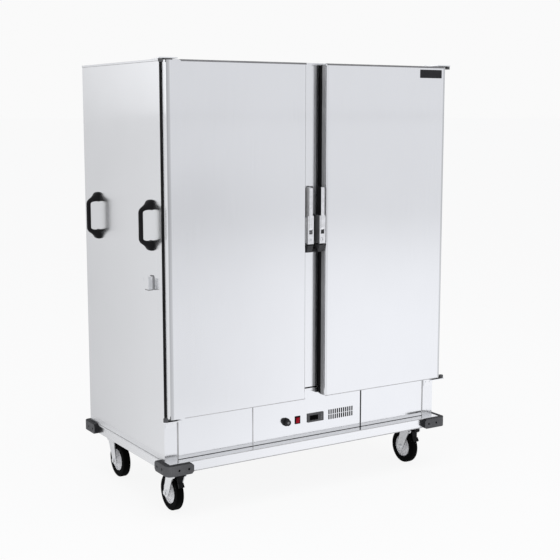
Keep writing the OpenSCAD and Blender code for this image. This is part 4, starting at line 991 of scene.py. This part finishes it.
wear(softened("rocker_bezel", 0.0005, 2), black_plastic)
knob_middle = sum(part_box("dial_knob"), Vector()) / 2
CAP_R = 0.0055
CAP_FADE = 0.0003
knob_black, tree, shader = finish("black knob with a grey cap")
spot = spot_of(tree)
aside = maths(tree, "SUBTRACT", spot["X"], knob_middle.x)
above = maths(tree, "SUBTRACT", spot["Z"], knob_middle.z)
away = maths(tree, "SQRT", maths(tree, "ADD", maths(tree, "MULTIPLY", aside, aside),
                                 maths(tree, "MULTIPLY", above, above)))
speck = grain_of(tree, (1300.0, 1300.0, 1300.0), 2.0)
plastic = tinted(tree, speck, (0.010, 0.010, 0.011), (0.024, 0.024, 0.025))
cap = tinted(tree, speck, (0.13, 0.13, 0.135), (0.18, 0.18, 0.185))
tree.links.new(blended_tint(tree, ramp(tree, away, CAP_R - CAP_FADE, CAP_R + CAP_FADE), cap, plastic),
               shader.inputs["Base Color"])
tree.links.new(ramp(tree, speck, 0.3, 0.7, 0.42, 0.55), shader.inputs["Roughness"])
shader.inputs["Specular IOR Level"].default_value = 0.16
wear(softened("dial_knob", 0.0006, 2), knob_black)
dress(black_plastic, "dial_regulator")
red = clouded("red translucent plastic", (300.0, 300.0, 300.0), 2.0, (0.25, 0.0012, 0.009),
              (0.35, 0.003, 0.014), 0.30, 0.42, 0.0, 0.08)
wear(softened("rocker", 0.0005, 2), red)
button_grey = rubbery("grey key caps", (0.10, 0.10, 0.105), (0.16, 0.16, 0.165), 0.45, 2000.0, 0.00003)
dress(button_grey, "button_set", "button_up", "button_down")


# ---------------------------------------------------------------- warm-air unit
# Under the bays: sheathed heating rods turned brown by heat, a ribbed motor can and a blower wheel.
rod = clouded("heat-stained rod", (40.0, 25.0, 40.0), 3.0, (0.10, 0.075, 0.06), (0.32, 0.28, 0.25), 0.35, 0.6)
dress(rod, "heating_element")
dress(cast, "blower_motor", "blower_wheel")


# ---------------------------------------------------------------- bare plate
# A small black anodised plate with rounded corners, glued on at the top of the right door.
# Nothing is on it.
plate_left, plate_right, plate_low, plate_top = 0.5265, 0.6436, 1.7224, 1.7572
THICK = 0.0012
CORNER = 0.003
door_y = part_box("door_skin_right")[0].y
outline = []
for x, z, start in ((plate_right - CORNER, plate_top - CORNER, 0),
                    (plate_left + CORNER, plate_top - CORNER, 90),
                    (plate_left + CORNER, plate_low + CORNER, 180),
                    (plate_right - CORNER, plate_low + CORNER, 270)):
    outline += arc_points(x, z, CORNER, start, start + 90, 5)
count = len(outline)


def rim_broken(shape):
    """Breaks the sharp rim of the plate's face."""
    rim = [e for e in shape.edges if all(abs(v.co.y - door_y + THICK) < 1e-6 for v in e.verts)]
    bmesh.ops.bevel(shape, geom=rim, offset=0.0003, segments=2, affect="EDGES")


plate = modelled("bare_plate", [(x, y, z) for y in (door_y, door_y - THICK) for x, z in outline],
                 [tuple(range(count)), tuple(range(2 * count - 1, count - 1, -1))]
                 + [(i, (i + 1) % count, count + (i + 1) % count, count + i) for i in range(count)],
                 40, rim_broken)
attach(plate, "door_right")
anodised = rubbery("black anodised plate", (0.010, 0.010, 0.011), (0.017, 0.017, 0.019), 0.4, 1500.0,
                   0.00001, 0.2)
wear(plate, anodised)


bpy.context.scene.view_settings.view_transform = "Standard"
